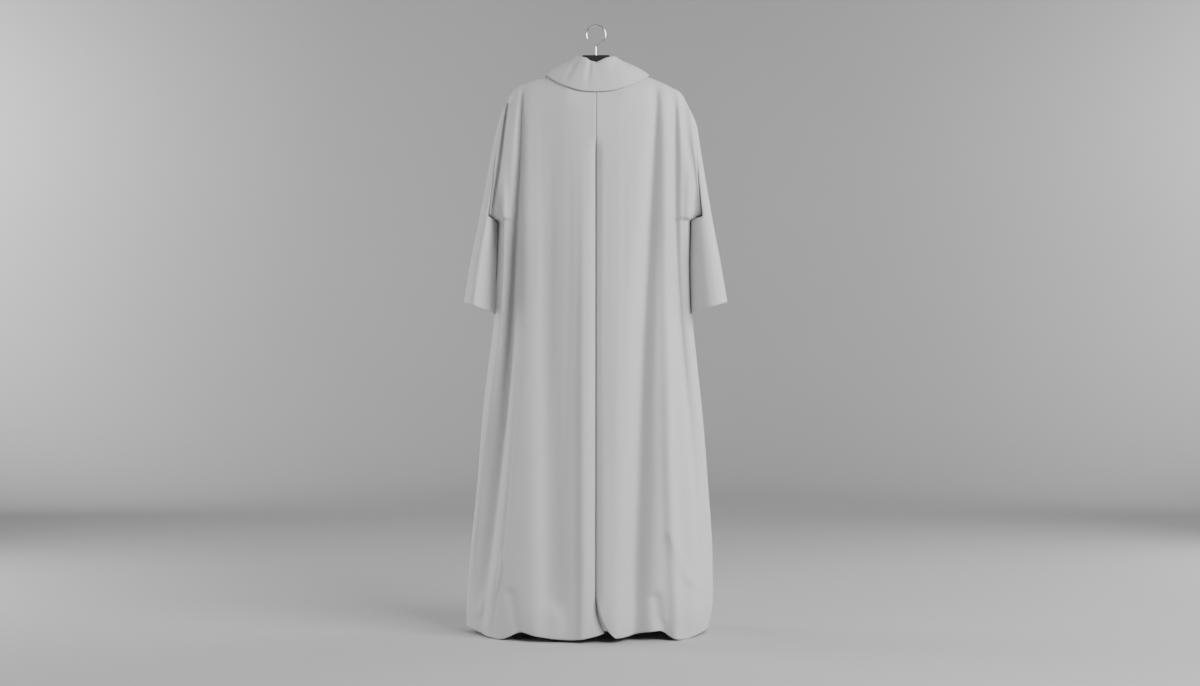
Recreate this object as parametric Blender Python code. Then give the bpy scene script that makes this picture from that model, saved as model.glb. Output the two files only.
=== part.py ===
"""A full-length alb with a turned-down collar, wide sleeves and a pleat down its back, on a hanger.

The origin is where the hook's inside rests on a rail. +Z is up and the back of the robe faces -Y.
Sizes are in metres. Heights are given as distances down from the origin, so they read like a tape
hung beside the robe, and widths as distances out from the centre of the robe.
"""
import math
from collections import namedtuple

import bmesh
import bpy
import numpy as np
from mathutils import Vector

# Sides and faces of the robe, as the signs of X and Y.
LEFT, RIGHT = -1, 1
BACK, FRONT = -1, 1
SIDE_NAMES = {LEFT: "left", RIGHT: "right"}
FACE_NAMES = {BACK: "back", FRONT: "front"}

# Cloth and seams.
HALF = 0.5
SMOOTH_ANGLE = math.radians(50)
CLOTH = 0.0016
COLLAR_CLOTH = 0.0016
SEAM = 0.0004

# Neck, shoulders and armholes.
NECK_HALF_WIDTH = 0.072
NECK_POINT_DOWN = 0.113
NECK_REACH = {BACK: 0.052, FRONT: 0.066}
NECK_DOWN = {BACK: 0.133, FRONT: 0.190}
NECK_ROUNDNESS = 0.7
NECK_STEPS = 5
NECK_EASE = 0.16
SHOULDER_FALL = 0.11
SHOULDER_FULLNESS = 0.5
NECK_FULLNESS = 0.35
ARMHOLE_REACH = 0.042
ARMHOLE_FULLNESS = 5
UNDERARM_DOWN = 0.490
UNDERARM_FOLD = 0.016
UNDERARM_EASE = 0.13
SIDE_SEAM_FULLNESS = 14

Point = namedtuple("Point", "out down")
SHOULDERS = {
    LEFT: (Point(0.072, 0.113), Point(0.128, 0.131), Point(0.175, 0.145),
           Point(0.212, 0.166), Point(0.2345, 0.205)),
    RIGHT: (Point(0.072, 0.113), Point(0.141, 0.1335), Point(0.192, 0.1565),
            Point(0.221, 0.176), Point(0.2405, 0.213)),
}
UNDERARM_OUT = {LEFT: 0.2735, RIGHT: 0.2700}

# The body's cross-sections: half widths to the side seams, and reach to the back and to the front.
Section = namedtuple("Section", "down left right back front")
BODY = (
    Section(0.130, 0.235, 0.240, 0.074, 0.062),
    Section(0.180, 0.235, 0.240, 0.088, 0.074),
    Section(0.250, 0.240, 0.243, 0.096, 0.083),
    Section(0.490, 0.249, 0.243, 0.104, 0.095),
    Section(0.600, 0.254, 0.244, 0.109, 0.099),
    Section(0.750, 0.261, 0.248, 0.117, 0.106),
    Section(0.860, 0.275, 0.259, 0.123, 0.111),
    Section(0.980, 0.289, 0.272, 0.130, 0.117),
    Section(1.166, 0.304, 0.287, 0.142, 0.128),
    Section(1.387, 0.325, 0.300, 0.158, 0.142),
    Section(1.505, 0.332, 0.297, 0.166, 0.149),
    Section(1.552, 0.331, 0.286, 0.168, 0.152),
)
SECTION_FULLNESS = 2.4
SECTION_ROUNDNESS = 0.6
EDGE_FULLNESS = 8

# The pleat at the centre of the back.
PLEAT_TOP_DOWN = 0.286
PLEAT_HALF_GAP = 0.0010
PLEAT_ROLL = 0.007
PLEAT_ROLL_WIDTH = 0.010
PLEAT_ROLL_START = 0.05
CORNER_START_DOWN = 1.43
CORNER_OUT = 0.083
CORNER_HEIGHT = 0.125
FLARE_START_DOWN = 1.45
FLARE_OUT = 0.022
FLARE_HEIGHT = 0.085

# The underlay behind the pleat.
UNDERLAY_COLUMNS = 4
UNDERLAY_HALF_WIDTH = 0.044
UNDERLAY_TOP_DOWN = 0.262
UNDERLAY_HEM_LIFT = 0.012
UNDERLAY_SEAT = 0.0009
UNDERLAY_BULGE = 0.0110
UNDERLAY_FULLNESS = 4
UNDERLAY_TOP_RUN = 0.06

# Folds run down the cloth. Each has its distance out and its depth at every fold level, and a
# half width on the side of it towards the centre and on the other. A ridge has a negative depth.
FOLD_LEVELS = (0.21, 0.35, 0.49, 0.78, 1.15, 1.40, 1.55)
Fold = namedtuple("Fold", "name out depth inner outer")
FOLDS = {
    (LEFT, BACK): (
        Fold("blade trough", (0.080, 0.083, 0.083, 0.080, 0.068, 0.060, 0.060),
             (0.002, 0.008, 0.011, 0.014, 0.016, 0.014, 0.008), 0.026, 0.036),
        Fold("panel ridge", (0.165, 0.172, 0.176, 0.184, 0.196, 0.205, 0.215),
             (-0.002, -0.006, -0.009, -0.014, -0.018, -0.016, -0.010), 0.040, 0.022),
        Fold("side groove", (0.192, 0.193, 0.197, 0.211, 0.235, 0.256, 0.276),
             (0.020, 0.030, 0.035, 0.042, 0.046, 0.034, 0.010), 0.0085, 0.0200),
    ),
    (RIGHT, BACK): (
        Fold("panel ridge", (0.130, 0.122, 0.114, 0.104, 0.094, 0.090, 0.092),
             (-0.002, -0.004, -0.006, -0.010, -0.013, -0.012, -0.008), 0.044, 0.022),
        Fold("side groove", (0.160, 0.157, 0.154, 0.148, 0.133, 0.124, 0.130),
             (0.015, 0.023, 0.027, 0.032, 0.042, 0.042, 0.032), 0.0210, 0.0125),
        Fold("side ridge", (0.181, 0.181, 0.180, 0.180, 0.190, 0.203, 0.220),
             (-0.004, -0.007, -0.010, -0.014, -0.018, -0.018, -0.014), 0.018, 0.022),
        Fold("outer groove", (0.204, 0.204, 0.204, 0.210, 0.247, 0.262, 0.272),
             (0.016, 0.018, 0.018, 0.017, 0.013, 0.010, 0.002), 0.010, 0.013),
    ),
    (LEFT, FRONT): (
        Fold("front trough", (0.110, 0.106, 0.104, 0.104, 0.108, 0.114, 0.118),
             (0.001, 0.004, 0.007, 0.011, 0.015, 0.018, 0.020), 0.026, 0.030),
        Fold("side groove", (0.188, 0.192, 0.196, 0.208, 0.226, 0.240, 0.250),
             (0.008, 0.016, 0.024, 0.034, 0.038, 0.034, 0.024), 0.016, 0.018),
    ),
    (RIGHT, FRONT): (
        Fold("front trough", (0.096, 0.092, 0.090, 0.088, 0.084, 0.084, 0.088),
             (0.001, 0.003, 0.006, 0.009, 0.012, 0.016, 0.018), 0.024, 0.030),
        Fold("side groove", (0.180, 0.180, 0.182, 0.190, 0.204, 0.214, 0.222),
             (0.008, 0.012, 0.018, 0.026, 0.030, 0.030, 0.024), 0.017, 0.018),
    ),
}
FOLD_SIDE_FADE = 0.10
FOLD_TOP_FADE = 0.06

# Creases beside the armholes, between the body's cloth and the sleeve's.
ARM_LEVELS = (0.215, 0.300, 0.400, 0.475, 0.498)
ARM_CREASES = {
    (LEFT, BACK): Fold("arm crease", (0.2290, 0.2385, 0.2520, 0.2660, 0.2690),
                       (0.008, 0.014, 0.015, 0.010, 0.004), 0.009, 0.012),
    (RIGHT, BACK): Fold("arm crease", (0.2260, 0.2345, 0.2560, 0.2640, 0.2650),
                        (0.004, 0.008, 0.008, 0.004, 0.000), 0.009, 0.010),
    (LEFT, FRONT): Fold("arm crease", (0.2270, 0.2385, 0.2530, 0.2640, 0.2660),
                        (0.004, 0.008, 0.010, 0.006, 0.002), 0.009, 0.010),
    (RIGHT, FRONT): Fold("arm crease", (0.2280, 0.2385, 0.2540, 0.2630, 0.2650),
                         (0.004, 0.008, 0.009, 0.006, 0.002), 0.009, 0.010),
}
ARM_CREASE_EDGE = 0.007

# Soft bulges where the hem meets the floor and the cloth buckles.
Buckle = namedtuple("Buckle", "name out down half_width half_height bulge")
BUCKLES = {
    (LEFT, BACK): (Buckle("hem bulge", 0.128, 1.515, 0.044, 0.050, 0.014),),
    (RIGHT, BACK): (
        Buckle("lapped corner", 0.055, 1.500, 0.045, 0.060, 0.008),
        Buckle("side bulge", 0.240, 1.490, 0.040, 0.075, 0.012),
    ),
    (LEFT, FRONT): (Buckle("hem bulge", 0.165, 1.520, 0.045, 0.050, 0.010),),
    (RIGHT, FRONT): (Buckle("hem bulge", 0.150, 1.510, 0.045, 0.055, 0.010),),
}

# The hem, as its height at points out from the centre.
HEMS = {
    (LEFT, BACK): (Point(-0.022, 1.532), Point(0.010, 1.541), Point(0.052, 1.548),
                   Point(0.150, 1.540), Point(0.184, 1.533), Point(0.238, 1.554),
                   Point(0.290, 1.549), Point(0.331, 1.541)),
    (RIGHT, BACK): (Point(0.083, 1.543), Point(0.134, 1.532), Point(0.166, 1.532),
                    Point(0.186, 1.546), Point(0.218, 1.555), Point(0.250, 1.553),
                    Point(0.286, 1.548)),
    (LEFT, FRONT): (Point(0.000, 1.546), Point(0.060, 1.552), Point(0.120, 1.541),
                    Point(0.180, 1.553), Point(0.240, 1.538), Point(0.290, 1.548),
                    Point(0.331, 1.541)),
    (RIGHT, FRONT): (Point(0.000, 1.546), Point(0.050, 1.551), Point(0.100, 1.540),
                     Point(0.160, 1.554), Point(0.214, 1.537), Point(0.250, 1.551),
                     Point(0.286, 1.548)),
}
SIDE_HEM = {LEFT: 1.541, RIGHT: 1.548}

# The columns of points across a panel follow guide lines down the cloth, with a number of equal
# steps between each two. The first guide is the centre edge and the last is the side seam.
Guide = namedtuple("Guide", "steps out")
GUIDES = {
    (LEFT, BACK): (
        Guide(NECK_STEPS, (0.072, 0.080, 0.082, 0.080, 0.070, 0.064, 0.066)),
        Guide(4, (0.160, 0.170, 0.178, 0.192, 0.210, 0.226, 0.238)),
        Guide(3, (0.192, 0.193, 0.197, 0.211, 0.235, 0.256, 0.268)),
        Guide(3, (0.214, 0.217, 0.221, 0.237, 0.262, 0.284, 0.298)),
    ),
    (RIGHT, BACK): (
        Guide(NECK_STEPS, (0.072, 0.076, 0.076, 0.076, 0.074, 0.080, 0.120)),
        Guide(3, (0.138, 0.130, 0.126, 0.116, 0.102, 0.100, 0.136)),
        Guide(3, (0.160, 0.157, 0.154, 0.148, 0.133, 0.128, 0.156)),
        Guide(3, (0.181, 0.181, 0.180, 0.180, 0.190, 0.203, 0.220)),
        Guide(2, (0.204, 0.204, 0.204, 0.211, 0.247, 0.260, 0.262)),
    ),
    (LEFT, FRONT): (
        Guide(NECK_STEPS, (0.072, 0.072, 0.072, 0.072, 0.072, 0.074, 0.076)),
        Guide(4, (0.160, 0.164, 0.168, 0.180, 0.194, 0.206, 0.214)),
        Guide(2, (0.188, 0.192, 0.196, 0.208, 0.226, 0.240, 0.250)),
        Guide(2, (0.212, 0.217, 0.222, 0.232, 0.262, 0.280, 0.290)),
    ),
    (RIGHT, FRONT): (
        Guide(NECK_STEPS, (0.072, 0.070, 0.068, 0.066, 0.064, 0.064, 0.066)),
        Guide(4, (0.150, 0.152, 0.154, 0.160, 0.172, 0.180, 0.186)),
        Guide(2, (0.180, 0.180, 0.182, 0.190, 0.204, 0.214, 0.222)),
        Guide(2, (0.214, 0.216, 0.218, 0.224, 0.244, 0.256, 0.260)),
    ),
}
SIDE_STEPS = 3

# Rows of points down a panel, as heights before they follow the shoulder and the hem. They lie
# level from the underarm to the thigh.
PANEL_ROWS = (0.209, 0.216, 0.228, 0.248, 0.276, 0.316, 0.362, 0.412, 0.456, 0.480, 0.490, 0.506,
              0.530, 0.580, 0.650, 0.730, 0.820, 0.920, 1.030, 1.150, 1.260, 1.350, 1.420, 1.465,
              1.500, 1.526, 1.545)
LEVEL_FROM = 0.42
LEVEL_TO = 1.20

# The sleeves, from the armhole to the cuff: where the outer and inner lines are, how far the cloth
# reaches to the back and to the front of them, and how far its inner side wraps round the body.
Cuff = namedtuple("Cuff", "outer_out outer_down inner_out inner_down back front wrap")
SLEEVES = {
    LEFT: (
        Cuff(0.2520, 0.255, 0.2740, 0.4990, 0.038, 0.044, 0.000),
        Cuff(0.2665, 0.320, 0.2700, 0.5140, 0.041, 0.050, 0.010),
        Cuff(0.2820, 0.405, 0.2640, 0.5450, 0.049, 0.058, 0.030),
        Cuff(0.3020, 0.507, 0.2620, 0.5950, 0.061, 0.068, 0.042),
        Cuff(0.3220, 0.607, 0.2640, 0.6650, 0.074, 0.078, 0.036),
        Cuff(0.3385, 0.709, 0.2680, 0.7420, 0.084, 0.085, 0.026),
    ),
    RIGHT: (
        Cuff(0.2580, 0.255, 0.2705, 0.4990, 0.040, 0.044, 0.000),
        Cuff(0.2690, 0.320, 0.2660, 0.5140, 0.044, 0.050, 0.010),
        Cuff(0.2830, 0.405, 0.2560, 0.5450, 0.053, 0.058, 0.022),
        Cuff(0.3010, 0.507, 0.2520, 0.5950, 0.065, 0.068, 0.026),
        Cuff(0.3200, 0.607, 0.2535, 0.6650, 0.076, 0.078, 0.024),
        Cuff(0.3375, 0.709, 0.2570, 0.7420, 0.084, 0.085, 0.020),
    ),
}
CREST = {LEFT: 0.80, RIGHT: 0.85}
SLEEVE_ROUNDNESS = 0.6
SLEEVE_SETTLED = 0.4
SLEEVE_CLEAR = 0.0024
SLEEVE_CLEAR_BY = 0.06
SLEEVE_BEND = 0.003
SLEEVE_TUCK = 2.0
SLEEVE_TUCK_FROM = 0.012
SLEEVE_ROWS = 15
SLEEVE_POINTS = 24

# The collar, from the centre of the back round to the centre of the front: where its folded top
# is, and where its outer edge lies over the body, no higher than the shoulder seam.
CollarStation = namedtuple("CollarStation", "turn fold_out fold_reach fold_down edge_out edge_down")
COLLAR = (
    CollarStation(0, 0.0000, -0.0600, 0.1030, 0.000, 0.1825),
    CollarStation(25, 0.0250, -0.0570, 0.0910, 0.044, 0.1785),
    CollarStation(50, 0.0440, -0.0420, 0.0845, 0.088, 0.1620),
    CollarStation(75, 0.0555, -0.0150, 0.0840, 0.123, 0.1390),
    CollarStation(90, 0.0575, 0.0010, 0.0860, 0.132, 0.1305),
    CollarStation(105, 0.0570, 0.0170, 0.0930, 0.129, 0.1490),
    CollarStation(130, 0.0470, 0.0430, 0.1130, 0.104, 0.2000),
    CollarStation(155, 0.0280, 0.0640, 0.1360, 0.058, 0.2430),
    CollarStation(180, 0.0000, 0.0740, 0.1560, 0.000, 0.2620),
)
COLLAR_SPREAD = {LEFT: 0.97, RIGHT: 1.05}
COLLAR_COLUMNS = 20
COLLAR_END_TURN = 179.2
COLLAR_LIFT = 0.0052
COLLAR_FOLD_RADIUS = 0.0034
COLLAR_FOLD_LEAN = 0.6
COLLAR_FOLD_DROP = 0.8
COLLAR_FALL_START = 0.55
COLLAR_BULGE = 0.004
COLLAR_EDGE_BULGE = 0.0012
COLLAR_STAND_GAP = 0.0007

# The hanger and its hook.
HANGER_TOP_DOWN = 0.0752
HANGER_BLOCK_HALF_WIDTH = 0.036
HANGER_BLOCK_BOTTOM_DOWN = 0.136
HANGER_THICKNESS = 0.012
HANGER_CORNER = 0.004
HANGER_ARM_START = Point(0.036, 0.1130)
HANGER_SEAT_OUT = 0.086
HANGER_ARM_HEIGHT = 0.020
HANGER_TIP_HEIGHT = 0.013
HANGER_TIP_OUT = 0.200
HANGER_CLEAR = 0.0028
HANGER_ARM_SLOPE = 0.2
HANGER_STATIONS = 9
HANGER_BEVEL = 0.0025
HOOK_WIRE = 0.0020
HOOK_RADIUS = 0.0245
HOOK_OPEN_TURN = 205
HOOK_END_TURN = -62
HOOK_STEPS = 30
HOOK_NECK_DROP = 0.006
HOOK_NECK_BULGE = 0.003
HOOK_NECK_STEPS = 5
HOOK_SIDES = 12
HOOK_DEPTH_IN_BLOCK = 0.018
HOOK_BORE = 0.0023
HOOK_BORE_SIDES = 16

Finish = namedtuple("Finish", "colour roughness metallic")
WHITE_CLOTH = Finish((0.70, 0.70, 0.705), 0.85, 0.0)
BLACK_PLASTIC = Finish((0.012, 0.012, 0.013), 0.45, 0.0)
CHROME = Finish((0.80, 0.80, 0.81), 0.15, 1.0)


class SmoothLine:
    """Smooth line through a value at each rising place, held level beyond its ends."""

    def __init__(self, places, values):
        self.places = np.array(places, dtype=float)
        self.values = np.array(values, dtype=float)
        self.slopes = np.gradient(self.values, self.places)

    def at(self, place):
        """Value at a place, or at each of an array of places."""
        place = np.clip(place, self.places[0], self.places[-1])
        before = np.clip(np.searchsorted(self.places, place, "right") - 1, 0, len(self.places) - 2)
        span = self.places[before + 1] - self.places[before]
        part = (place - self.places[before]) / span
        start = (1 + 2 * part) * (1 - part) ** 2 * self.values[before]
        end = part ** 2 * (3 - 2 * part) * self.values[before + 1]
        leaving = part * (1 - part) ** 2 * span * self.slopes[before]
        arriving = part ** 2 * (part - 1) * span * self.slopes[before + 1]
        return start + end + leaving + arriving


def smooth_step(part):
    """Ease from 0 to 1 as the part goes from 0 to 1."""
    part = np.clip(part, 0.0, 1.0)
    return part ** 2 * (3 - 2 * part)


def body_line(column):
    """Smooth line down one column of the table of cross-sections."""
    return SmoothLine([row.down for row in BODY], [getattr(row, column) for row in BODY])


def point_line(points):
    """Smooth line of heights along a list of points."""
    return SmoothLine([point.out for point in points], [point.down for point in points])


def fold_line(values):
    """Smooth line of a fold's or a guide's values at the fold levels."""
    return SmoothLine(FOLD_LEVELS, values)


HALF_WIDTH_LINES = {side: body_line(SIDE_NAMES[side]) for side in (LEFT, RIGHT)}
REACH_LINES = {face: body_line(FACE_NAMES[face]) for face in (BACK, FRONT)}
SHOULDER_LINES = {side: point_line(SHOULDERS[side]) for side in (LEFT, RIGHT)}
HEM_LINES = {panel: point_line(HEMS[panel]) for panel in HEMS}


def armhole_share(side, down):
    """How far down the armhole a height is, from 0 at the shoulder's tip to 1 at the underarm."""
    tip = SHOULDERS[side][-1]
    return np.clip((down - tip.down) / (UNDERARM_DOWN - tip.down), 0.0, 1.0)


def armhole_reach(share):
    """Reach of the armhole's edge: round at its top, and fuller towards the underarm."""
    from_middle = np.abs(2 * share - 1)
    power = np.where(share < HALF, 2.0, ARMHOLE_FULLNESS)
    return ARMHOLE_REACH * (1 - from_middle ** power) ** (1 / power)


def side_out(side, down, fold=UNDERARM_FOLD):
    """Distance out to the armhole's edge, and below the underarm to the side seam.

    The fold is the height over which one goes over to the other.
    """
    tip = SHOULDERS[side][-1]
    armhole = tip.out + armhole_share(side, down) * (UNDERARM_OUT[side] - tip.out)
    folded = smooth_step((down - UNDERARM_DOWN) / fold)
    return armhole * (1 - folded) + HALF_WIDTH_LINES[side].at(down) * folded


def top_down(side, face, out):
    """Height of a panel's top edge, which is the neckline and then the shoulder seam."""
    part = np.clip(np.abs(out) / NECK_HALF_WIDTH, 0.0, 1.0)
    neckline = NECK_DOWN[face] + (NECK_POINT_DOWN - NECK_DOWN[face]) * part ** 2
    return np.where(np.abs(out) < NECK_HALF_WIDTH, neckline, SHOULDER_LINES[side].at(out))


def folds_depth(side, face, out, down):
    """How far the folds and buckles push the cloth in towards the middle of the body."""
    depth = np.zeros_like(out)
    for fold in FOLDS[side, face]:
        past = out - fold_line(fold.out).at(down)
        width = np.where(past < 0, fold.inner, fold.outer)
        depth = depth + fold_line(fold.depth).at(down) * np.exp(-(past / width) ** 2)
    for buckle in BUCKLES[side, face]:
        spread = ((out - buckle.out) / buckle.half_width) ** 2
        rise = ((down - buckle.down) / buckle.half_height) ** 2
        depth = depth - buckle.bulge * np.exp(-spread - rise)
    return depth


def arm_crease_depth(side, face, out, down):
    """How far the cloth is pushed in beside the armhole, down to the underarm."""
    crease = ARM_CREASES[side, face]
    past = out - SmoothLine(ARM_LEVELS, crease.out).at(down)
    width = np.where(past < 0, crease.inner, crease.outer)
    above_underarm = 1 - smooth_step((down - UNDERARM_DOWN) / UNDERARM_FOLD)
    depth = SmoothLine(ARM_LEVELS, crease.depth).at(down) * above_underarm
    from_edge = smooth_step((side_out(side, down) - out) / ARM_CREASE_EDGE)
    return depth * from_edge * np.exp(-(past / width) ** 2)


def cloth_reach(side, face, out, down):
    """Distance of a panel's outer surface from the plane of the side seams."""
    top = top_down(side, face, out)
    drop = np.maximum(down - top, 0.0)
    across = np.clip(np.abs(out) / side_out(side, down), 0.0, 1.0)
    rounded = np.clip(np.abs(out) / side_out(side, down, UNDERARM_EASE), 0.0, 1.0)
    near_neck = np.clip(1 - (np.abs(out) / NECK_HALF_WIDTH) ** 2, 0.0, 1.0)
    rounding = (1 - (1 - np.clip(drop / SHOULDER_FALL, 0.0, 1.0)) ** 2) ** (
        SHOULDER_FULLNESS + NECK_FULLNESS * near_neck)
    neckline = NECK_REACH[face] * near_neck ** NECK_ROUNDNESS
    middle = REACH_LINES[face].at(down) * (1 - rounded ** SECTION_FULLNESS) ** SECTION_ROUNDNESS
    below = smooth_step((down - UNDERARM_DOWN) / UNDERARM_FOLD)
    middle = middle * (1 - below * (1 - np.sqrt(1 - across ** SIDE_SEAM_FULLNESS)))
    armhole = armhole_reach(armhole_share(side, down)) * across ** EDGE_FULLNESS
    reach = neckline * (1 - rounding) + middle * rounding + armhole
    top_fade = smooth_step(drop / FOLD_TOP_FADE)
    fade = smooth_step((1 - across) / FOLD_SIDE_FADE) * top_fade
    folds = folds_depth(side, face, out, down) * fade
    return reach - folds - arm_crease_depth(side, face, out, down) * top_fade


def pleat_roll(side, out, down):
    """How far an edge of the pleat rolls in, from the top of the opening down.

    The right edge lies flat again where it rounds off to the hem.
    """
    opened = smooth_step((down - PLEAT_TOP_DOWN) / PLEAT_ROLL_START)
    if side == RIGHT:
        opened = opened * (1 - smooth_step((down - CORNER_START_DOWN) / PLEAT_ROLL_START))
    return PLEAT_ROLL * opened * np.exp(-(np.maximum(out, 0.0) / PLEAT_ROLL_WIDTH) ** 2)


def centre_out(side, face, down):
    """Distance out to a panel's centre edge, which opens at the pleat and rounds off at the hem."""
    edge = np.full_like(down, SEAM / 2)
    if face == FRONT:
        return edge
    edge = edge + PLEAT_HALF_GAP * smooth_step((down - PLEAT_TOP_DOWN) / PLEAT_ROLL_START)
    if side == RIGHT:
        fallen = np.clip((down - CORNER_START_DOWN) / CORNER_HEIGHT, 0.0, 1.0)
        return edge + CORNER_OUT * (1 - np.sqrt(1 - fallen ** 2))
    fallen = np.clip((down - FLARE_START_DOWN) / FLARE_HEIGHT, 0.0, 1.0)
    return edge - FLARE_OUT * fallen ** 2


def column_outs(side, face, levels, centre):
    """Distances out of a panel's columns, from its centre edge, a row for each level at its side."""
    lines = [centre]
    steps = []
    for guide in GUIDES[side, face]:
        lines.append(fold_line(guide.out).at(levels))
        steps.append(guide.steps)
    lines.append(side_out(side, levels))
    steps.append(SIDE_STEPS)
    columns = [lines[0]]
    round_neck = 1 - smooth_step((levels - levels[0]) / NECK_EASE)
    for number, count in enumerate(steps):
        for step in range(1, count + 1):
            share = step / count
            if number == 0:
                share = share + (math.sin(share * math.pi / 2) - share) * round_neck
            columns.append(lines[number] + (lines[number + 1] - lines[number]) * share)
    return np.stack(columns, axis=1)


def panel_places(side, face):
    """Distances out and heights of a panel's points, in rows down from its top edge."""
    levels = np.array(PANEL_ROWS)
    first, last = levels[0], levels[-1]
    shoulder = 1 - smooth_step((levels - first) / (LEVEL_FROM - first))
    hem = smooth_step((levels - LEVEL_TO) / (last - LEVEL_TO))
    seam = levels + shoulder * (SHOULDERS[side][-1].down - first) + hem * (SIDE_HEM[side] - last)
    middle = levels + shoulder * (NECK_DOWN[face] - first)
    middle = middle + hem * (HEM_LINES[side, face].at(0.0) - last)
    out = column_outs(side, face, seam, centre_out(side, face, middle))
    top = top_down(side, face, out[0]) - first
    bottom = HEM_LINES[side, face].at(out[-1]) - last
    down = levels[:, None] + shoulder[:, None] * top + hem[:, None] * bottom
    return out, down


def surface_normals(points):
    """Unit normals of a grid of points, by its rows and columns."""
    along_rows = np.gradient(points, axis=0)
    along_columns = np.gradient(points, axis=1)
    normals = np.cross(along_columns, along_rows)
    return normals / np.linalg.norm(normals, axis=2, keepdims=True)


def keep_in_seam(normals, axis):
    """Turn a seam's normals into the plane of the seam, so that both its walls face each other."""
    normals[..., axis] = 0.0
    normals /= np.maximum(np.linalg.norm(normals, axis=-1, keepdims=True), 1e-9)


def panel_normals(points, side, face):
    """A panel's normals, out of the body, with those along its seams in the planes of the seams."""
    normals = surface_normals(points) * side * face
    armhole = -points[:, -1, 2] < UNDERARM_DOWN + SEAM
    shoulder = np.abs(points[0, :, 0]) >= NECK_HALF_WIDTH
    normals[:, 0, 0] = 0.0
    normals[armhole, -1, 0] = 0.0
    normals[~armhole, -1, 1] = 0.0
    normals[0, shoulder, 1] = 0.0
    underarm = np.flatnonzero(armhole)[-1]
    normals[underarm, -1] = (0.0, 0.0, -1.0)
    normals[0, -1] = (0.0, 0.0, 1.0)
    return normals / np.linalg.norm(normals, axis=2, keepdims=True)


def panel_points(side, face):
    """The outer points of a front or back panel."""
    out, down = panel_places(side, face)
    reach = cloth_reach(side, face, out, down)
    if face == BACK:
        reach = reach - pleat_roll(side, out - centre_out(side, face, down), down)
    return np.stack([side * out, face * (reach + SEAM / 2), -down], axis=2)


def add_object(name, mesh, finish):
    """Link a mesh as a named object with its own material, shaded smooth."""
    material = bpy.data.materials.new(name)
    material.use_nodes = True
    shader = material.node_tree.nodes["Principled BSDF"]
    shader.inputs["Base Color"].default_value = (*finish.colour, 1.0)
    shader.inputs["Roughness"].default_value = finish.roughness
    shader.inputs["Metallic"].default_value = finish.metallic
    mesh.materials.append(material)
    mesh.shade_smooth()
    mesh.set_sharp_from_angle(angle=SMOOTH_ANGLE)
    piece = bpy.data.objects.new(name, mesh)
    bpy.context.collection.objects.link(piece)
    return piece


def add_wall(name, outer, inner, finish, closed_ring=False):
    """A closed wall between two grids of points, with rims round its free edges."""
    rows, columns = outer.shape[:2]
    size = rows * columns
    vertices = [tuple(point) for grid in (outer, inner) for point in grid.reshape(-1, 3)]

    def corner(row, column, layer):
        return layer * size + row * columns + column % columns

    faces = []
    last_column = columns if closed_ring else columns - 1
    for row in range(rows - 1):
        for column in range(last_column):
            for layer in (0, 1):
                faces.append((corner(row, column, layer), corner(row, column + 1, layer),
                              corner(row + 1, column + 1, layer), corner(row + 1, column, layer)))
    for row in (0, rows - 1):
        for column in range(last_column):
            faces.append((corner(row, column, 0), corner(row, column + 1, 0),
                          corner(row, column + 1, 1), corner(row, column, 1)))
    if not closed_ring:
        for column in (0, columns - 1):
            for row in range(rows - 1):
                faces.append((corner(row, column, 0), corner(row + 1, column, 0),
                              corner(row + 1, column, 1), corner(row, column, 1)))
    mesh = bpy.data.meshes.new(name)
    mesh.from_pydata(vertices, [], faces)
    shape = bmesh.new()
    shape.from_mesh(mesh)
    bmesh.ops.recalc_face_normals(shape, faces=shape.faces)
    shape.to_mesh(mesh)
    shape.free()
    return add_object(name, mesh, finish)


def make_panel(side, face):
    """One front or one half of the back, from the neck and shoulder to the hem."""
    outer = panel_points(side, face)
    inner = outer - CLOTH * panel_normals(outer, side, face)
    add_wall(f"{FACE_NAMES[face]}_{SIDE_NAMES[side]}", outer, inner, WHITE_CLOTH)


def make_pleat_underlay():
    """The cloth behind the pleat's opening, sewn inside both halves of the back."""
    outs = np.linspace(-UNDERLAY_HALF_WIDTH, UNDERLAY_HALF_WIDTH, 2 * UNDERLAY_COLUMNS + 1)
    rows = panel_places(LEFT, BACK)[1][:, 1]
    rows = rows[rows > UNDERLAY_TOP_DOWN]
    hem = HEM_LINES[LEFT, BACK].at(np.maximum(-outs, 0.0)) - UNDERLAY_HEM_LIFT
    share = (rows - rows[0]) / (rows[-1] - rows[0])
    down = rows[0] + share[:, None] * (hem - rows[0])
    out = np.broadcast_to(outs, down.shape)
    left = cloth_reach(LEFT, BACK, np.maximum(-out, 0.0), down)
    right = cloth_reach(RIGHT, BACK, np.maximum(out, 0.0), down)
    middle = 1 - (np.abs(out) / UNDERLAY_HALF_WIDTH) ** UNDERLAY_FULLNESS
    opened = smooth_step((down - UNDERLAY_TOP_DOWN) / UNDERLAY_TOP_RUN)
    inset = CLOTH + UNDERLAY_SEAT + UNDERLAY_BULGE * middle * opened
    reach = np.where(out < 0, left, right) - inset
    outer = np.stack([out, -reach, -down], axis=2)
    inner = outer - CLOTH * surface_normals(outer) * BACK * RIGHT
    add_wall("pleat_underlay", outer, inner, WHITE_CLOTH)


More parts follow.
